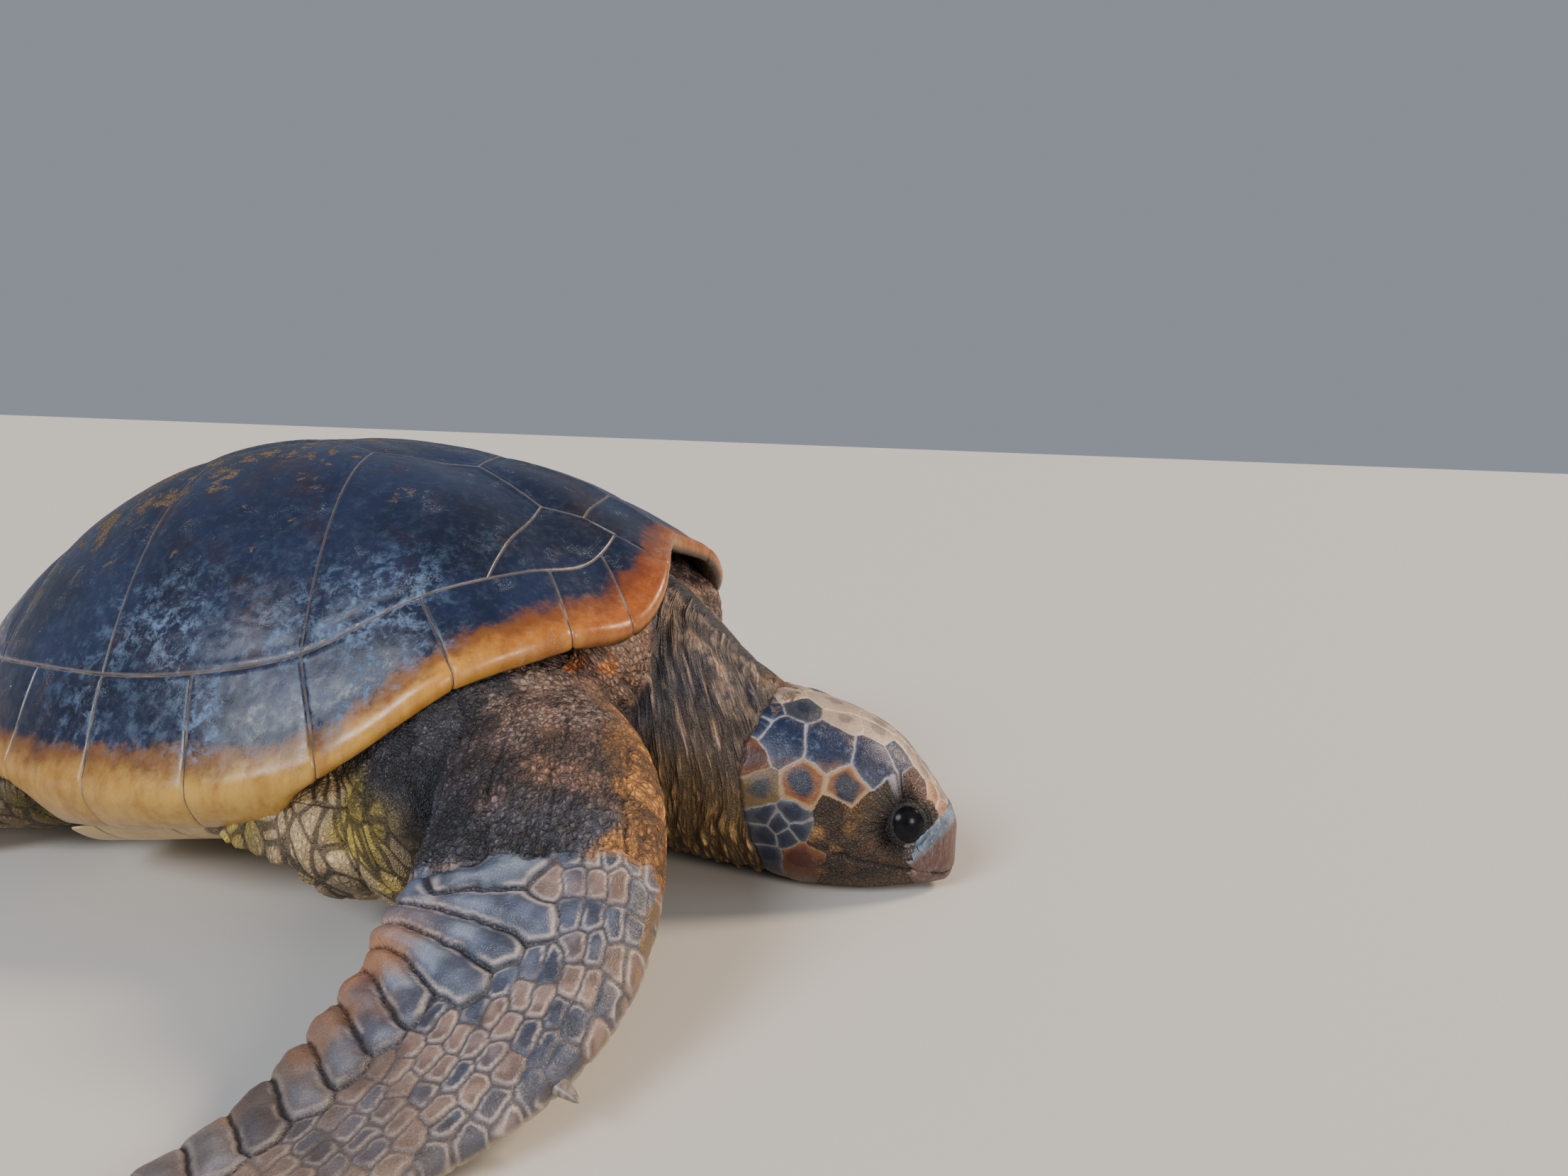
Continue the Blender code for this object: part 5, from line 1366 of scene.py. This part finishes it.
        # Painted shade along the rim of the opening and in the lids' creases.
        crease_shade = between(crease_shade, np.maximum(0.7 * step(0.12, 0.02, small), step(1.05, 0.97, ratio)), lid)
        horny = horny * (1 - 0.8 * lid)
        weave = between(weave, 0.8 * step(1.0, 1.15, ratio), lid)
    # The mouth line and its corner are sunk, and darkened by painted shade.
    mouth = line_distance(p[:, (0, 2)], MOUTH_LINE)
    corner = np.linalg.norm((p[:, (0, 2)] - MOUTH_LINE[0]) / np.array((0.0085, 0.0030)), axis=1)
    relief = relief - 0.0022 * hill(mouth, 0.0018) * (p[:, 0] < 0.86) - 0.0016 * step(1.3, 0.5, corner)
    crease_shade = np.maximum.reduce([crease_shade, step(0.0030, 0.0008, mouth), step(1.3, 0.7, corner)])
    # The nostrils are sunk, and darkened by painted shade.
    for side, _ in SIDES:
        nostril = np.linalg.norm(q - np.array(NOSTRIL) * np.array((1, side, 1)), axis=1)
        relief = relief - 0.0025 * hill(nostril, 0.0022)
        crease_shade = np.maximum(crease_shade, step(0.0032, 0.0018, nostril))
    return relief, colour, crease_shade, horny, weave, q / 0.0030


def neck_work(p):
    """Close folds that fan out from under the front of the shell and run down to the throat."""
    x, y, z = p.T
    gathered = 0.80 * step(0.08, 0.31, z)
    u = (x - FOLD_TOP_X * gathered) / (1 - gathered)
    u = u + 0.0024 * noise(p, 0.045, 61, 2) + 0.0005 * noise(p, 0.008, 62)
    v = np.arctan2(y - HEAD_Y / 2, z - 0.08) * 0.10 + 0.004 * noise(p, 0.02, 63)
    fold = np.stack([u, v, 0 * u], -1)
    edge, ident = cells(fold, (0.0062, 0.036, 1.0), 64)
    wave = 0.5 + 0.5 * np.sin(u / 0.019 * 2 * np.pi + 1.5 * noise(p, 0.05, 65))
    relief = 0.0027 * step(0.0, 0.32, edge) + 0.0024 * wave - 0.0017
    high = step(0.09, 0.185, z + 0.03 * noise(p, 0.05, 66, 2))
    ridge = tinted(*FOLD_RIDGE, high) * (0.82 + 0.30 * ident)[:, None]
    ridge = tinted(ridge, FOLD_SLATE, step(-0.3, 0.5, noise(p, 0.04, 82, 2)) * (0.25 + 0.6 * high))
    ochre = step(0.10, 0.60, noise(p, 0.045, 68, 2)) * step(0.650, 0.600, x) * step(0.19, 0.12, z)
    ridge = tinted(ridge, FOLD_OCHRE, 0.8 * ochre)
    # The troughs between the folds are darker than the ridges: darker skin and painted shade.
    colour = tinted(tinted(*FOLD_TROUGH_SHADED, high), ridge, step(0.08, 0.34, edge))
    # Two ropey ridges from under the shell's front to the top of the head.
    for start, end in np.array(NECK_ROPES):
        _, t = from_segment(p, start, end)
        middle = between(start, end, t[:, None]) - np.outer(0.006 * np.sin(t * 9), (0, 1, 0))
        rope = hill(np.linalg.norm(p - middle, axis=1), 0.0085)
        relief += 0.0055 * rope * (0.8 + 0.5 * noise(p, 0.011, 69, 2))
        colour = tinted(colour, ROPE, 0.90 * rope**0.7 * step(-0.9, 0.3, noise(p, 0.010, 70, 2)))
    # Painted shade in the grooves between the folds.
    crease_shade, weave = 0.55 * step(0.13, 0.02, edge), np.full(len(p), 0.85)
    return relief, colour, crease_shade, np.zeros(len(p)), weave, fold / np.array((0.0033, 0.0180, 1))


def shoulder_work(p, fore):
    """Dark, cross-creased skin over the shoulder, with ochre at its front and pale pads in the arm pit; the
    russet on top of its front is partly painted warm sunlight, and painted shade darkens its creases.
    """
    mirrored = np.stack([p[:, 0], -np.abs(p[:, 1]), p[:, 2]], -1)
    x, _, z = mirrored.T
    q = mirrored + 0.0035 * wander(mirrored, 0.045, 71)
    # Folds run in arcs round the top of the shoulder.
    ahead, _, up = (q - np.array(SHOULDER_MIDDLE)).T
    arcs = np.stack([np.hypot(ahead, up), np.arctan2(up, ahead) * 0.08, q[:, 1]], -1)
    edge, ident = cells(arcs, (0.0068, 0.0100, 0.0100), 74)
    leaning = np.stack([q[:, 0] + 0.5 * q[:, 2], q[:, 2], q[:, 1]], -1)
    pads, pad_ident = cells(leaning, (0.017, 0.026, 0.026), 76)
    slant = (q[:, 0] + 0.55 * q[:, 2] + 0.006 * noise(q, 0.05, 77, 2)) / 0.044
    long_crease = np.abs(np.sin(slant * np.pi))
    # The arm pit lies low and to the rear of the arm.
    pit = step(0.530, 0.470, x + 0.5 * (z - 0.10) + 0.016 * noise(mirrored, 0.03, 78, 2))
    pit = pit * step(0.155, 0.115, z + 0.25 * (x - 0.42))
    mottle = step(-0.35, 0.6, noise(mirrored, 0.028, 80, 3))
    # Russet over the front of the shoulder's top: its own colour, warmed with painted sunlight.
    sunlit_front = step(0.50, 0.61, x + 0.03 * noise(mirrored, 0.04, 83, 2))
    sunlit_front = sunlit_front * step(0.135, 0.180, z + 0.015 * noise(mirrored, 0.03, 85, 2))
    colour = tinted(tinted(*SHOULDER_SLATE, mottle), tinted(*SHOULDER_RUSSET_SUNLIT, mottle), sunlit_front)
    colour = colour * (0.6 + 0.8 * ident)[:, None]
    # Ochre along the front of the upper arm, next to the neck.
    band = step(0.040, 0.058, fore[:, 2] + 0.010 * noise(mirrored, 0.02, 79, 2)) * step(0.200, 0.165, z)
    band = 0.85 * band * step(1.8, 1.4, fore[:, 4]) * step(0.12, 0.22, fore[:, 0])
    colour = tinted(colour, np.array(ARM_OCHRE) * (0.45 + 0.7 * mottle)[:, None], band)
    for spot in SHOULDER_FLECKS:
        fleck = np.linalg.norm((mirrored - np.array(spot)) / np.array((0.006, 0.02, 0.008)), axis=1)
        colour = tinted(colour, ARM_FLECK, step(1.2, 0.7, fleck + 0.5 * noise(mirrored, 0.005, 84, 2)))
    cream = tinted(*PIT_CREAM, step(-0.3, 0.5, noise(mirrored, 0.05, 81, 2)))
    shade = (0.50 + 0.7 * pad_ident) * (0.55 + 0.45 * mottle) * (0.62 + 0.38 * step(0.10, 0.30, x))
    colour = tinted(colour, cream * shade[:, None], pit)
    colour = tinted(colour, ARM_LOW, 0.5 * step(0.05, 0.012, z))
    padded = 0.0030 * step(0, 0.24, pads) + 0.0016 * step(0, 0.25, long_crease)
    creased = 0.0015 * step(0, 0.22, edge) - 0.0016 * step(0.16, 0.02, long_crease)
    # Painted shade in the creases between the scales and in the long creases.
    crease_shade = 0.8 * step(0.12, 0.02, edge) + 0.6 * step(0.10, 0.02, long_crease)
    # Dry pale dust lines the creases on top of the shoulder.
    dusty = step(0.165, 0.195, z + 0.015 * noise(mirrored, 0.03, 86, 2)) * step(0.50, 0.53, x)
    lines = 0.75 * dusty * step(0.13, 0.04, edge) * step(-0.7, 0.2, noise(mirrored, 0.02, 87))
    colour = tinted(colour, CREASE_DUST, lines)
    # In the arm pit, painted shade between the pads and in the long creases.
    deep = np.maximum(step(0.12, 0.02, pads), step(0.20, 0.05, long_crease))
    crease_shade = np.minimum(between(crease_shade * (1 - 0.9 * dusty), deep, pit), 1)
    fold = arcs / np.array((0.0034, 0.0046, 0.0046))
    return between(creased, padded, pit), colour, crease_shade, np.zeros(len(p)), 1 - 0.45 * pit, fold


# Fore flipper plates by length along and offset to the leading edge: long ones on the trailing side.
BLADE_PLATES = (
    (0.284, -0.054, 0.263, 0.004), (0.288, -0.074, 0.305, 0.020), (0.300, -0.085, 0.3265, 0.006),
    (0.330, -0.080, 0.353, 0.004), (0.352, -0.066, 0.379, -0.020), (0.380, -0.070, 0.402, -0.020),
    (0.410, -0.068, 0.428, -0.018), (0.440, -0.062, 0.455, -0.015), (0.470, -0.055, 0.482, -0.012),
    (0.500, -0.045, 0.508, -0.008), (0.528, -0.036, 0.534, -0.004), (0.555, -0.028, 0.560, 0.000),
    (0.580, -0.018, 0.584, 0.000),
)
LARGE_REACH = 0.0065
SMALL_REACH = 0.0010
SMALL_HALF = np.array((0.0038, 0.0012))
SMALL_CLEAR = 0.0150


def blade_seeds():
    """The plates named above, and small ones shared out evenly wherever those leave room."""
    rows = [(*plate, LARGE_REACH * min(1, 1.5 - plate[0])) for plate in BLADE_PLATES]
    for i, j in np.ndindex(30, 18):
        spot = np.array((0.205 + 0.0175 * i, -0.104 + 0.0125 * (j + (i % 2) / 2)))
        spot = spot + 0.0052 * (hashed(np.array([i, i]), np.array([j, j + 50]), np.array([0, 0]), 91) - 0.5)
        if min(from_segment(spot, a, b)[0] for a, b in np.reshape(BLADE_PLATES, (-1, 2, 2))) > SMALL_CLEAR:
            rows.append((*(spot - SMALL_HALF), *(spot + SMALL_HALF), SMALL_REACH))
    return np.array(rows)


def blade_work(p, where, scale, seeds):
    """Flipper plates: domed, with raised pale borders and thin dark gaps darkened further by painted shade,
    and painted highlights on the large plates' domes.
    """
    share, _, across, up, _ = where.T
    q = where[:, 1:3] / scale + 0.0012 * wander(p, 0.012, 95, 2)
    edge, number = plates_by_seeds(q, seeds[:, :4], seeds[:, 4])
    edge = edge * scale
    large = seeds[number, 4] > 0.003
    tone = hashed(number, number * 0 + 3, number * 0, 97)
    relief = np.where(large, 0.0020, 0.0014) * step(0, 0.0022, edge)
    relief += np.where(large, 0.0062, -0.0003) * np.sqrt(step(0.0, 0.016, edge))
    relief = (relief - 0.0008) * (1 - 0.55 * step(0.62, 0.95, share)) + 0.0002 * noise(p, 0.006, 98, 2)
    warm = step(0.35, 0.65, tone + 0.25 * noise(p, 0.05, 91, 2)) * ~large
    pad = tinted(np.array(PAD_COOL) * (0.65 + 0.7 * tone)[:, None], PAD_WARM, warm)
    pad = pad * (0.75 + 0.5 * step(-0.5, 0.6, noise(p, 0.010, 94, 2)))[:, None]
    # Painted highlight: the middle of each large plate's dome is paled.
    dome_highlight = large * step(0.003, 0.010, edge) * step(-0.3, 0.6, noise(p, 0.03, 90, 2))
    pad = tinted(pad, PAD_DOME_HIGHLIGHT, 0.7 * dome_highlight)
    # Each plate has a thin pale ring just inside its border, and dark skin shows between the plates.
    colour = tinted(BLADE_GAP, pad, step(0.0003, 0.0011, edge))
    middle = np.where(large, 0.0032, 0.0020)
    rim = hill(edge - middle, 0.32 * middle) * step(-0.6, 0.3, noise(p, 0.016, 92, 2) + 0.15)
    colour = tinted(colour, BLADE_RING, 0.78 * rim)
    # The trailing edge and the tip are warmer and browner.
    rear = step(-0.030, -0.066, across / scale + 0.014 * noise(p, 0.02, 99, 2)) * step(0.47, 0.58, share)
    colour = tinted(colour, BLADE_REAR, 0.75 * rear)
    far = 0.6 * step(0.60, 0.80, share + 0.05 * noise(p, 0.04, 93, 2))
    colour = tinted(colour, np.array(BLADE_TIP) * (0.7 + 0.6 * tone)[:, None], far)
    colour = tinted(colour, BLADE_LOW, 0.6 * step(0.0, -0.3, up / 0.02))
    # Painted shade: the gaps between plates are darkened, most round the large plates, as if in their
    # shadow.
    gap_shade = np.maximum(0.35 * step(0.0011, 0.0002, edge), 0.75 * large * step(0.0028, 0.0006, edge))
    return relief, colour, gap_shade, np.full(len(p), 0.9), np.zeros(len(p)), p / 0.003


# --- Skin, beak, eyes, belly shell and claws --------------------------------------------------------

FLESH = ("trunk", "neck", "head", "arm_right", "arm_left", "fore_flipper_right", "fore_flipper_left",
         "thigh_right", "thigh_left", "hind_flipper_right", "hind_flipper_left", "tail")
# Cross seams of the belly shell: distance along on the middle line, and how far they lean back.
BELLY_SEAMS = ((0.205, 0.25), (0.115, 0.10), (0.010, 0.05), (-0.095, -0.08), (-0.195, -0.15))
BELLY_ACROSS = 150
EYE_AROUND = 96
CLAW_LENGTH = 0.017
CLAW_BASE = 0.0056
CLAW_TIP = 0.0003


def behind_head(p):
    """How far in front of the wavy border between neck and head plates each point is."""
    border = smooth_values(HEAD_REAR_UP, HEAD_REAR_ALONG, np.clip(p[:, 2], 0, 0.2))
    return p[:, 0] - border + 0.0030 * noise(p, 0.016, 101, 2)


def head_and_neck(p):
    """How far each point belongs to the head, and how far to the neck."""
    head = step(-0.0015, 0.0015, behind_head(p))
    cuts = np.array(NECK_SECTIONS)
    x = np.clip(p[:, 0], cuts[0, 0], cuts[-1, 0])
    _, y, z, wide, tall = smooth_values(cuts[:, 0], cuts, x).T
    off = np.hypot((p[:, 1] - y) / wide, (p[:, 2] - z) / tall)
    around = step(1.13, 1.02, off + 0.03 * noise(p, 0.03, 102)) * step(0.50, 0.53, p[:, 0])
    return head, around * (1 - head)


def wanted_size(q):
    """How long the skin's edges may be: shorter in front, on the photo's side, the head and the eyes."""
    front = q[:, 0] > 0.24
    places = [q[:, 0] > 0.695, front & (q[:, 1] < 0.02), front]
    size = np.select(places, [0.00115, 0.0016, 0.0022], 0.0042)
    for side, _ in SIDES:
        size[np.linalg.norm(q - eye_place(side), axis=1) < 0.032] = 0.0007
    return size * FINE


def plain_skin():
    """The skin without its fine work, and without what the shell hides."""
    p, tris = blended_forms()
    l = level(p)
    rho, _ = disk(l[:, :2])
    used, tris = keep_only(tris, (rho >= 0.70) | (l[:, 2] <= 0.030) | (l[:, 2] >= DEPTH))
    p = soften(p[used], tris, 7)
    for rounds in (3, 3, 1):
        p, tris = refine(p, tris, wanted_size)
        p = soften(p, tris, rounds)
    return keep_clear(shape_lids(p)), tris


def skin_piece():
    """One skin over all the flesh. Returns it without relief, for the beak to grow from."""
    p, tris = plain_skin()
    n = point_normals(p, tris)
    count = len(p)
    relief, crease_shade, horny, weave = np.zeros((4, count))
    colour, fold = np.zeros((2, count, 3))

    def lay(share, work):
        """Lays a kind of skin over what is there, wherever its share is more than 0."""
        pick = np.where(share > 0.001)[0]
        if len(pick) == 0:
            return
        r, c, k, h, w, f = work(pick)
        s = share[pick]
        for layer, values in ((relief, r), (crease_shade, k), (horny, h)):
            layer[pick] = between(layer[pick], values, s)
        colour[pick] = tinted(colour[pick], c, s)
        weave[pick] = np.where(s > 0.5, w * (2 * s - 1), weave[pick] * (1 - 2 * s))
        fold[pick] = np.where(s[:, None] > 0.5, f, fold[pick])

    head, around = head_and_neck(p)
    seeds = blade_seeds()
    fore = np.tile((0.0, 0.0, 0.0, 0.0, FAR), (count, 1))
    blades = []
    for limb, _, _, scale, first, last in LIMB_PARTS:
        mine = np.where((p[:, 1] * limb.side > 0.07) & ((p[:, 0] > 0.20) == (scale == 1.0)))[0]
        where = limb.coordinates(p[mine])
        ragged = 0.012 * noise(p[mine], 0.03, 103) + 0.010 * noise(p[mine], 0.009, 104)
        share, full = np.zeros(count), np.zeros((count, 5))
        share[mine] = step(1.6, 1.3, where[:, 4]) * step(first, last, where[:, 0] + ragged)
        full[mine] = where
        if scale == 1.0:
            fore[mine] = where
        blades.append((share * (1 - head) * (1 - around), full, scale))
    covered = np.maximum.reduce([head, around, *(share for share, _, _ in blades)])
    lay((covered < 0.999) * 1.0, lambda pick: shoulder_work(p[pick], fore[pick]))
    lay(around, lambda pick: neck_work(p[pick]))
    for share, where, scale in blades:
        lay(share, lambda pick: blade_work(p[pick], where[pick], scale, seeds))
    lay(head, lambda pick: head_work(p[pick]))
    near_head = (np.abs(p[:, 1] - HEAD_Y) < 0.12) & (p[:, 0] > 0.68)
    # A sunk line where head meets neck, darkened by painted shade.
    join = hill(behind_head(p), 0.0022) * near_head
    moved = above_floor(p + n * (relief - 0.0016 * join)[:, None], FLOOR_GAP)
    obj = add_object("skin", moved, tris, skin_material())
    set_values(obj, "crease_shade", np.maximum(crease_shade, join * 0.7))
    set_values(obj, "horny", horny)
    set_values(obj, "weave", weave)
    set_values(obj, "fold", fold, "FLOAT_VECTOR")
    (x, _, z), up = moved.T, n[:, 2]
    dust = 0.05 + 0.18 * step(0.5, 0.95, up) * (x > 0.5) * step(0.12, 0.16, z) + 0.30 * step(0.03, 0.006, z)
    dust += 0.26 * hill(x - 0.712, 0.030) * step(0.3, 0.8, up) * step(0.13, 0.15, z)
    set_values(obj, "dust", dust)
    set_values(obj, "tint", colour, "FLOAT_COLOR")
    keep(obj, "skin", *FLESH)
    return p, tris, n


def beaks(p, tris, n):
    """The two horny edges of the beak, standing a little proud of the skin."""
    horn = beak_material()
    wavy = p + 0.0008 * np.stack([noise(p, 0.01, 111), 0 * p[:, 0], noise(p, 0.01, 112)], -1)
    for name, outline in BEAKS.items():
        inside = side_inside(wavy, outline)
        used, faces = keep_only(tris, (inside > -0.0022) & (p[:, 0] > 0.78))
        q, depth = p[used], inside[used]
        streak = noise(q * np.array((1, 1, 0.12)), 0.0022, 113, 2)
        out = -0.0014 + 0.0030 * step(-0.0012, 0.0016, depth) + 0.0002 * streak * step(0, 0.002, depth)
        obj = add_object(name, q + n[used] * out[:, None], faces, horn)
        low = step(0.062, 0.040, q[:, 2] + 0.9 * (0.862 - q[:, 0]))
        set_values(obj, "low", low if name == "beak_upper" else np.ones(len(q)))
        keep(obj, "horn", name)


def eyeballs():
    wet = eye_material()
    lift = np.linspace(0.001, math.pi * 0.62, 60)
    facing, off = np.cos(lift)[:, None, None], np.sin(lift)[:, None, None]
    cos, sin = (a[:, None] for a in circle(EYE_AROUND))
    for side, word in SIDES:
        out, tall, wide = eye_axes(side)
        rings = (out * facing + (wide * cos + tall * sin) * off) * eye_surface(facing) + eye_place(side)
        obj = add_object(f"eye_{word}", *closed_form(rings), wet)
        reach = np.append(np.repeat(lift, EYE_AROUND), (0, lift[-1]))
        set_values(obj, "iris", step(0.36, 0.42, reach) * step(0.86, 0.70, reach))
        face_out(obj)
        keep(obj, "eye", f"eye_{word}")


def belly():
    """The belly shell, with the grooves between its plates."""
    runs = ((BELLY_REAR, BELLY_REAR + 0.02, 12), (BELLY_REAR + 0.023, BELLY_FRONT - 0.022, 190),
            (BELLY_FRONT - 0.02, BELLY_FRONT, 12))
    stations = np.concatenate([np.linspace(*run) for run in runs])[:, None]
    share = np.sin(np.linspace(-math.pi / 2, math.pi / 2, BELLY_ACROSS))
    x, y = np.broadcast_arrays(stations, belly_half_width(stations) * share)
    seams = np.abs(y)
    for at, lean in BELLY_SEAMS:
        seams = np.minimum(seams, np.abs(x - at + lean * np.abs(y)))
    seams = np.minimum(seams, np.maximum(np.abs(np.abs(y) - 0.155), 0.16 * (np.abs(x - 0.01) > 0.13)))
    waves = noise(np.stack([x, y, 0 * x], -1).reshape(-1, 3), 0.03, 121, 3).reshape(x.shape)
    low = belly_height(x, y) + 0.010 * np.abs(share) ** 12 + 0.0012 * hill(seams, 0.0016) + 0.0004 * waves
    high = np.maximum(BELLY_TOP, belly_height(x, y) + 0.012)
    rings = np.stack([np.hstack([a, b[:, ::-1]]) for a, b in ((x, x), (y, y), (low, high))], -1)
    verts, tris = closed_form(rings)
    obj = add_object("belly_shell", above_floor(tilted(verts), 0), tris, belly_material())
    face_out(obj)
    set_values(obj, "edge", np.append(np.hstack([seams, 0.02 + 0 * seams]), (0.02, 0.02)))
    keep(obj, "belly_shell", "plastron")


def claws():
    """A claw on the leading edge of each fore flipper, where the solid one stands."""
    horn = claw_material()
    cos, sin = (a[:, None] for a in circle(28))
    t = np.linspace(0, 1, 24)[:, None, None]
    for limb, word in ((RIGHT_FORE, "right"), (LEFT_FORE, "left")):
        middle = np.array(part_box(f"claw_{word}")).mean(0)
        i = int(np.argmin(np.linalg.norm(limb.centre - middle, axis=1)))
        out, along = limb.across[i] * limb.lead, limb.along[i]
        centre = limb.centre[i] + out * (limb.wide[i] - 0.002 + CLAW_LENGTH * t) + along * 0.003 * t * t
        around = cos * along + 0.8 * sin * np.cross(out, along)
        rings = centre + (CLAW_BASE * (1 - t) ** 0.62 + CLAW_TIP) * around
        obj = add_object(f"claw_piece_{word}", *closed_form(rings), horn)
        face_out(obj)
        keep(obj, "horn", f"claw_{word}")


# --- Stage ------------------------------------------------------------------------------------------

FLOOR_HALF = 30.0
FLOOR_HEIGHT = -0.0003
CAMERA_PLACE = (0.902, -1.063, 0.400)
CAMERA_LENS = 26.85
CAMERA_TURNS = (100.42, 7.72, 2.03)


def linked(name, data):
    obj = bpy.data.objects.new(name, data)
    bpy.context.scene.collection.objects.link(obj)
    return obj


def soft_sun(name, direction, strength, spread_angle, tint):
    """A wide, even light from one direction."""
    data = bpy.data.lights.new(name, "SUN")
    data.energy, data.angle, data.color = strength, math.radians(spread_angle), tint
    linked(name, data).rotation_euler = Vector(direction).to_track_quat("-Z", "Y").to_euler()


def stage():
    spots = ((-1, -1), (1, -1), (1, 1), (-1, 1))
    spots = [(x * FLOOR_HALF, y * FLOOR_HALF, FLOOR_HEIGHT) for x, y in spots]
    pale = Paint("floor_pale").finish((0.60, 0.58, 0.55), 0.85)
    add_object("floor", spots, [(0, 1, 2, 3)], pale)
    world = bpy.data.worlds.new("studio")
    bpy.context.scene.world = world
    world.use_nodes = True
    back = world.node_tree.nodes["Background"]
    back.inputs[0].default_value = (0.80, 0.87, 1.0, 1)
    back.inputs[1].default_value = 0.33
    soft_sun("key", (-4.2, -2.6, -3.45), 3.3, 16, (1.0, 0.78, 0.54))
    soft_sun("fill", (2.0, 4.5, -3.25), 2.6, 24, (0.90, 0.94, 1.0))
    soft_sun("front", (-3.8, 3.3, -1.5), 1.6, 18, (1.0, 0.88, 0.74))


def camera():
    data = bpy.data.cameras.new("camera")
    data.sensor_width = 36
    data.lens = CAMERA_LENS
    obj = linked("camera", data)
    yaw, pitch, roll = (math.radians(turn) for turn in CAMERA_TURNS)
    look = Vector((math.cos(yaw) * math.cos(pitch), math.sin(yaw) * math.cos(pitch), -math.sin(pitch)))
    turn = look.to_track_quat("-Z", "Y").to_matrix().to_4x4()
    obj.matrix_world = Matrix.Translation(CAMERA_PLACE) @ turn @ Matrix.Rotation(roll, 4, "Z")
    bpy.context.scene.camera = obj


def corners(bounds):
    return [list(map(float, corner)) for corner in bounds]


carapace()
belly()
beaks(*skin_piece())
eyeballs()
claws()
stage()
camera()
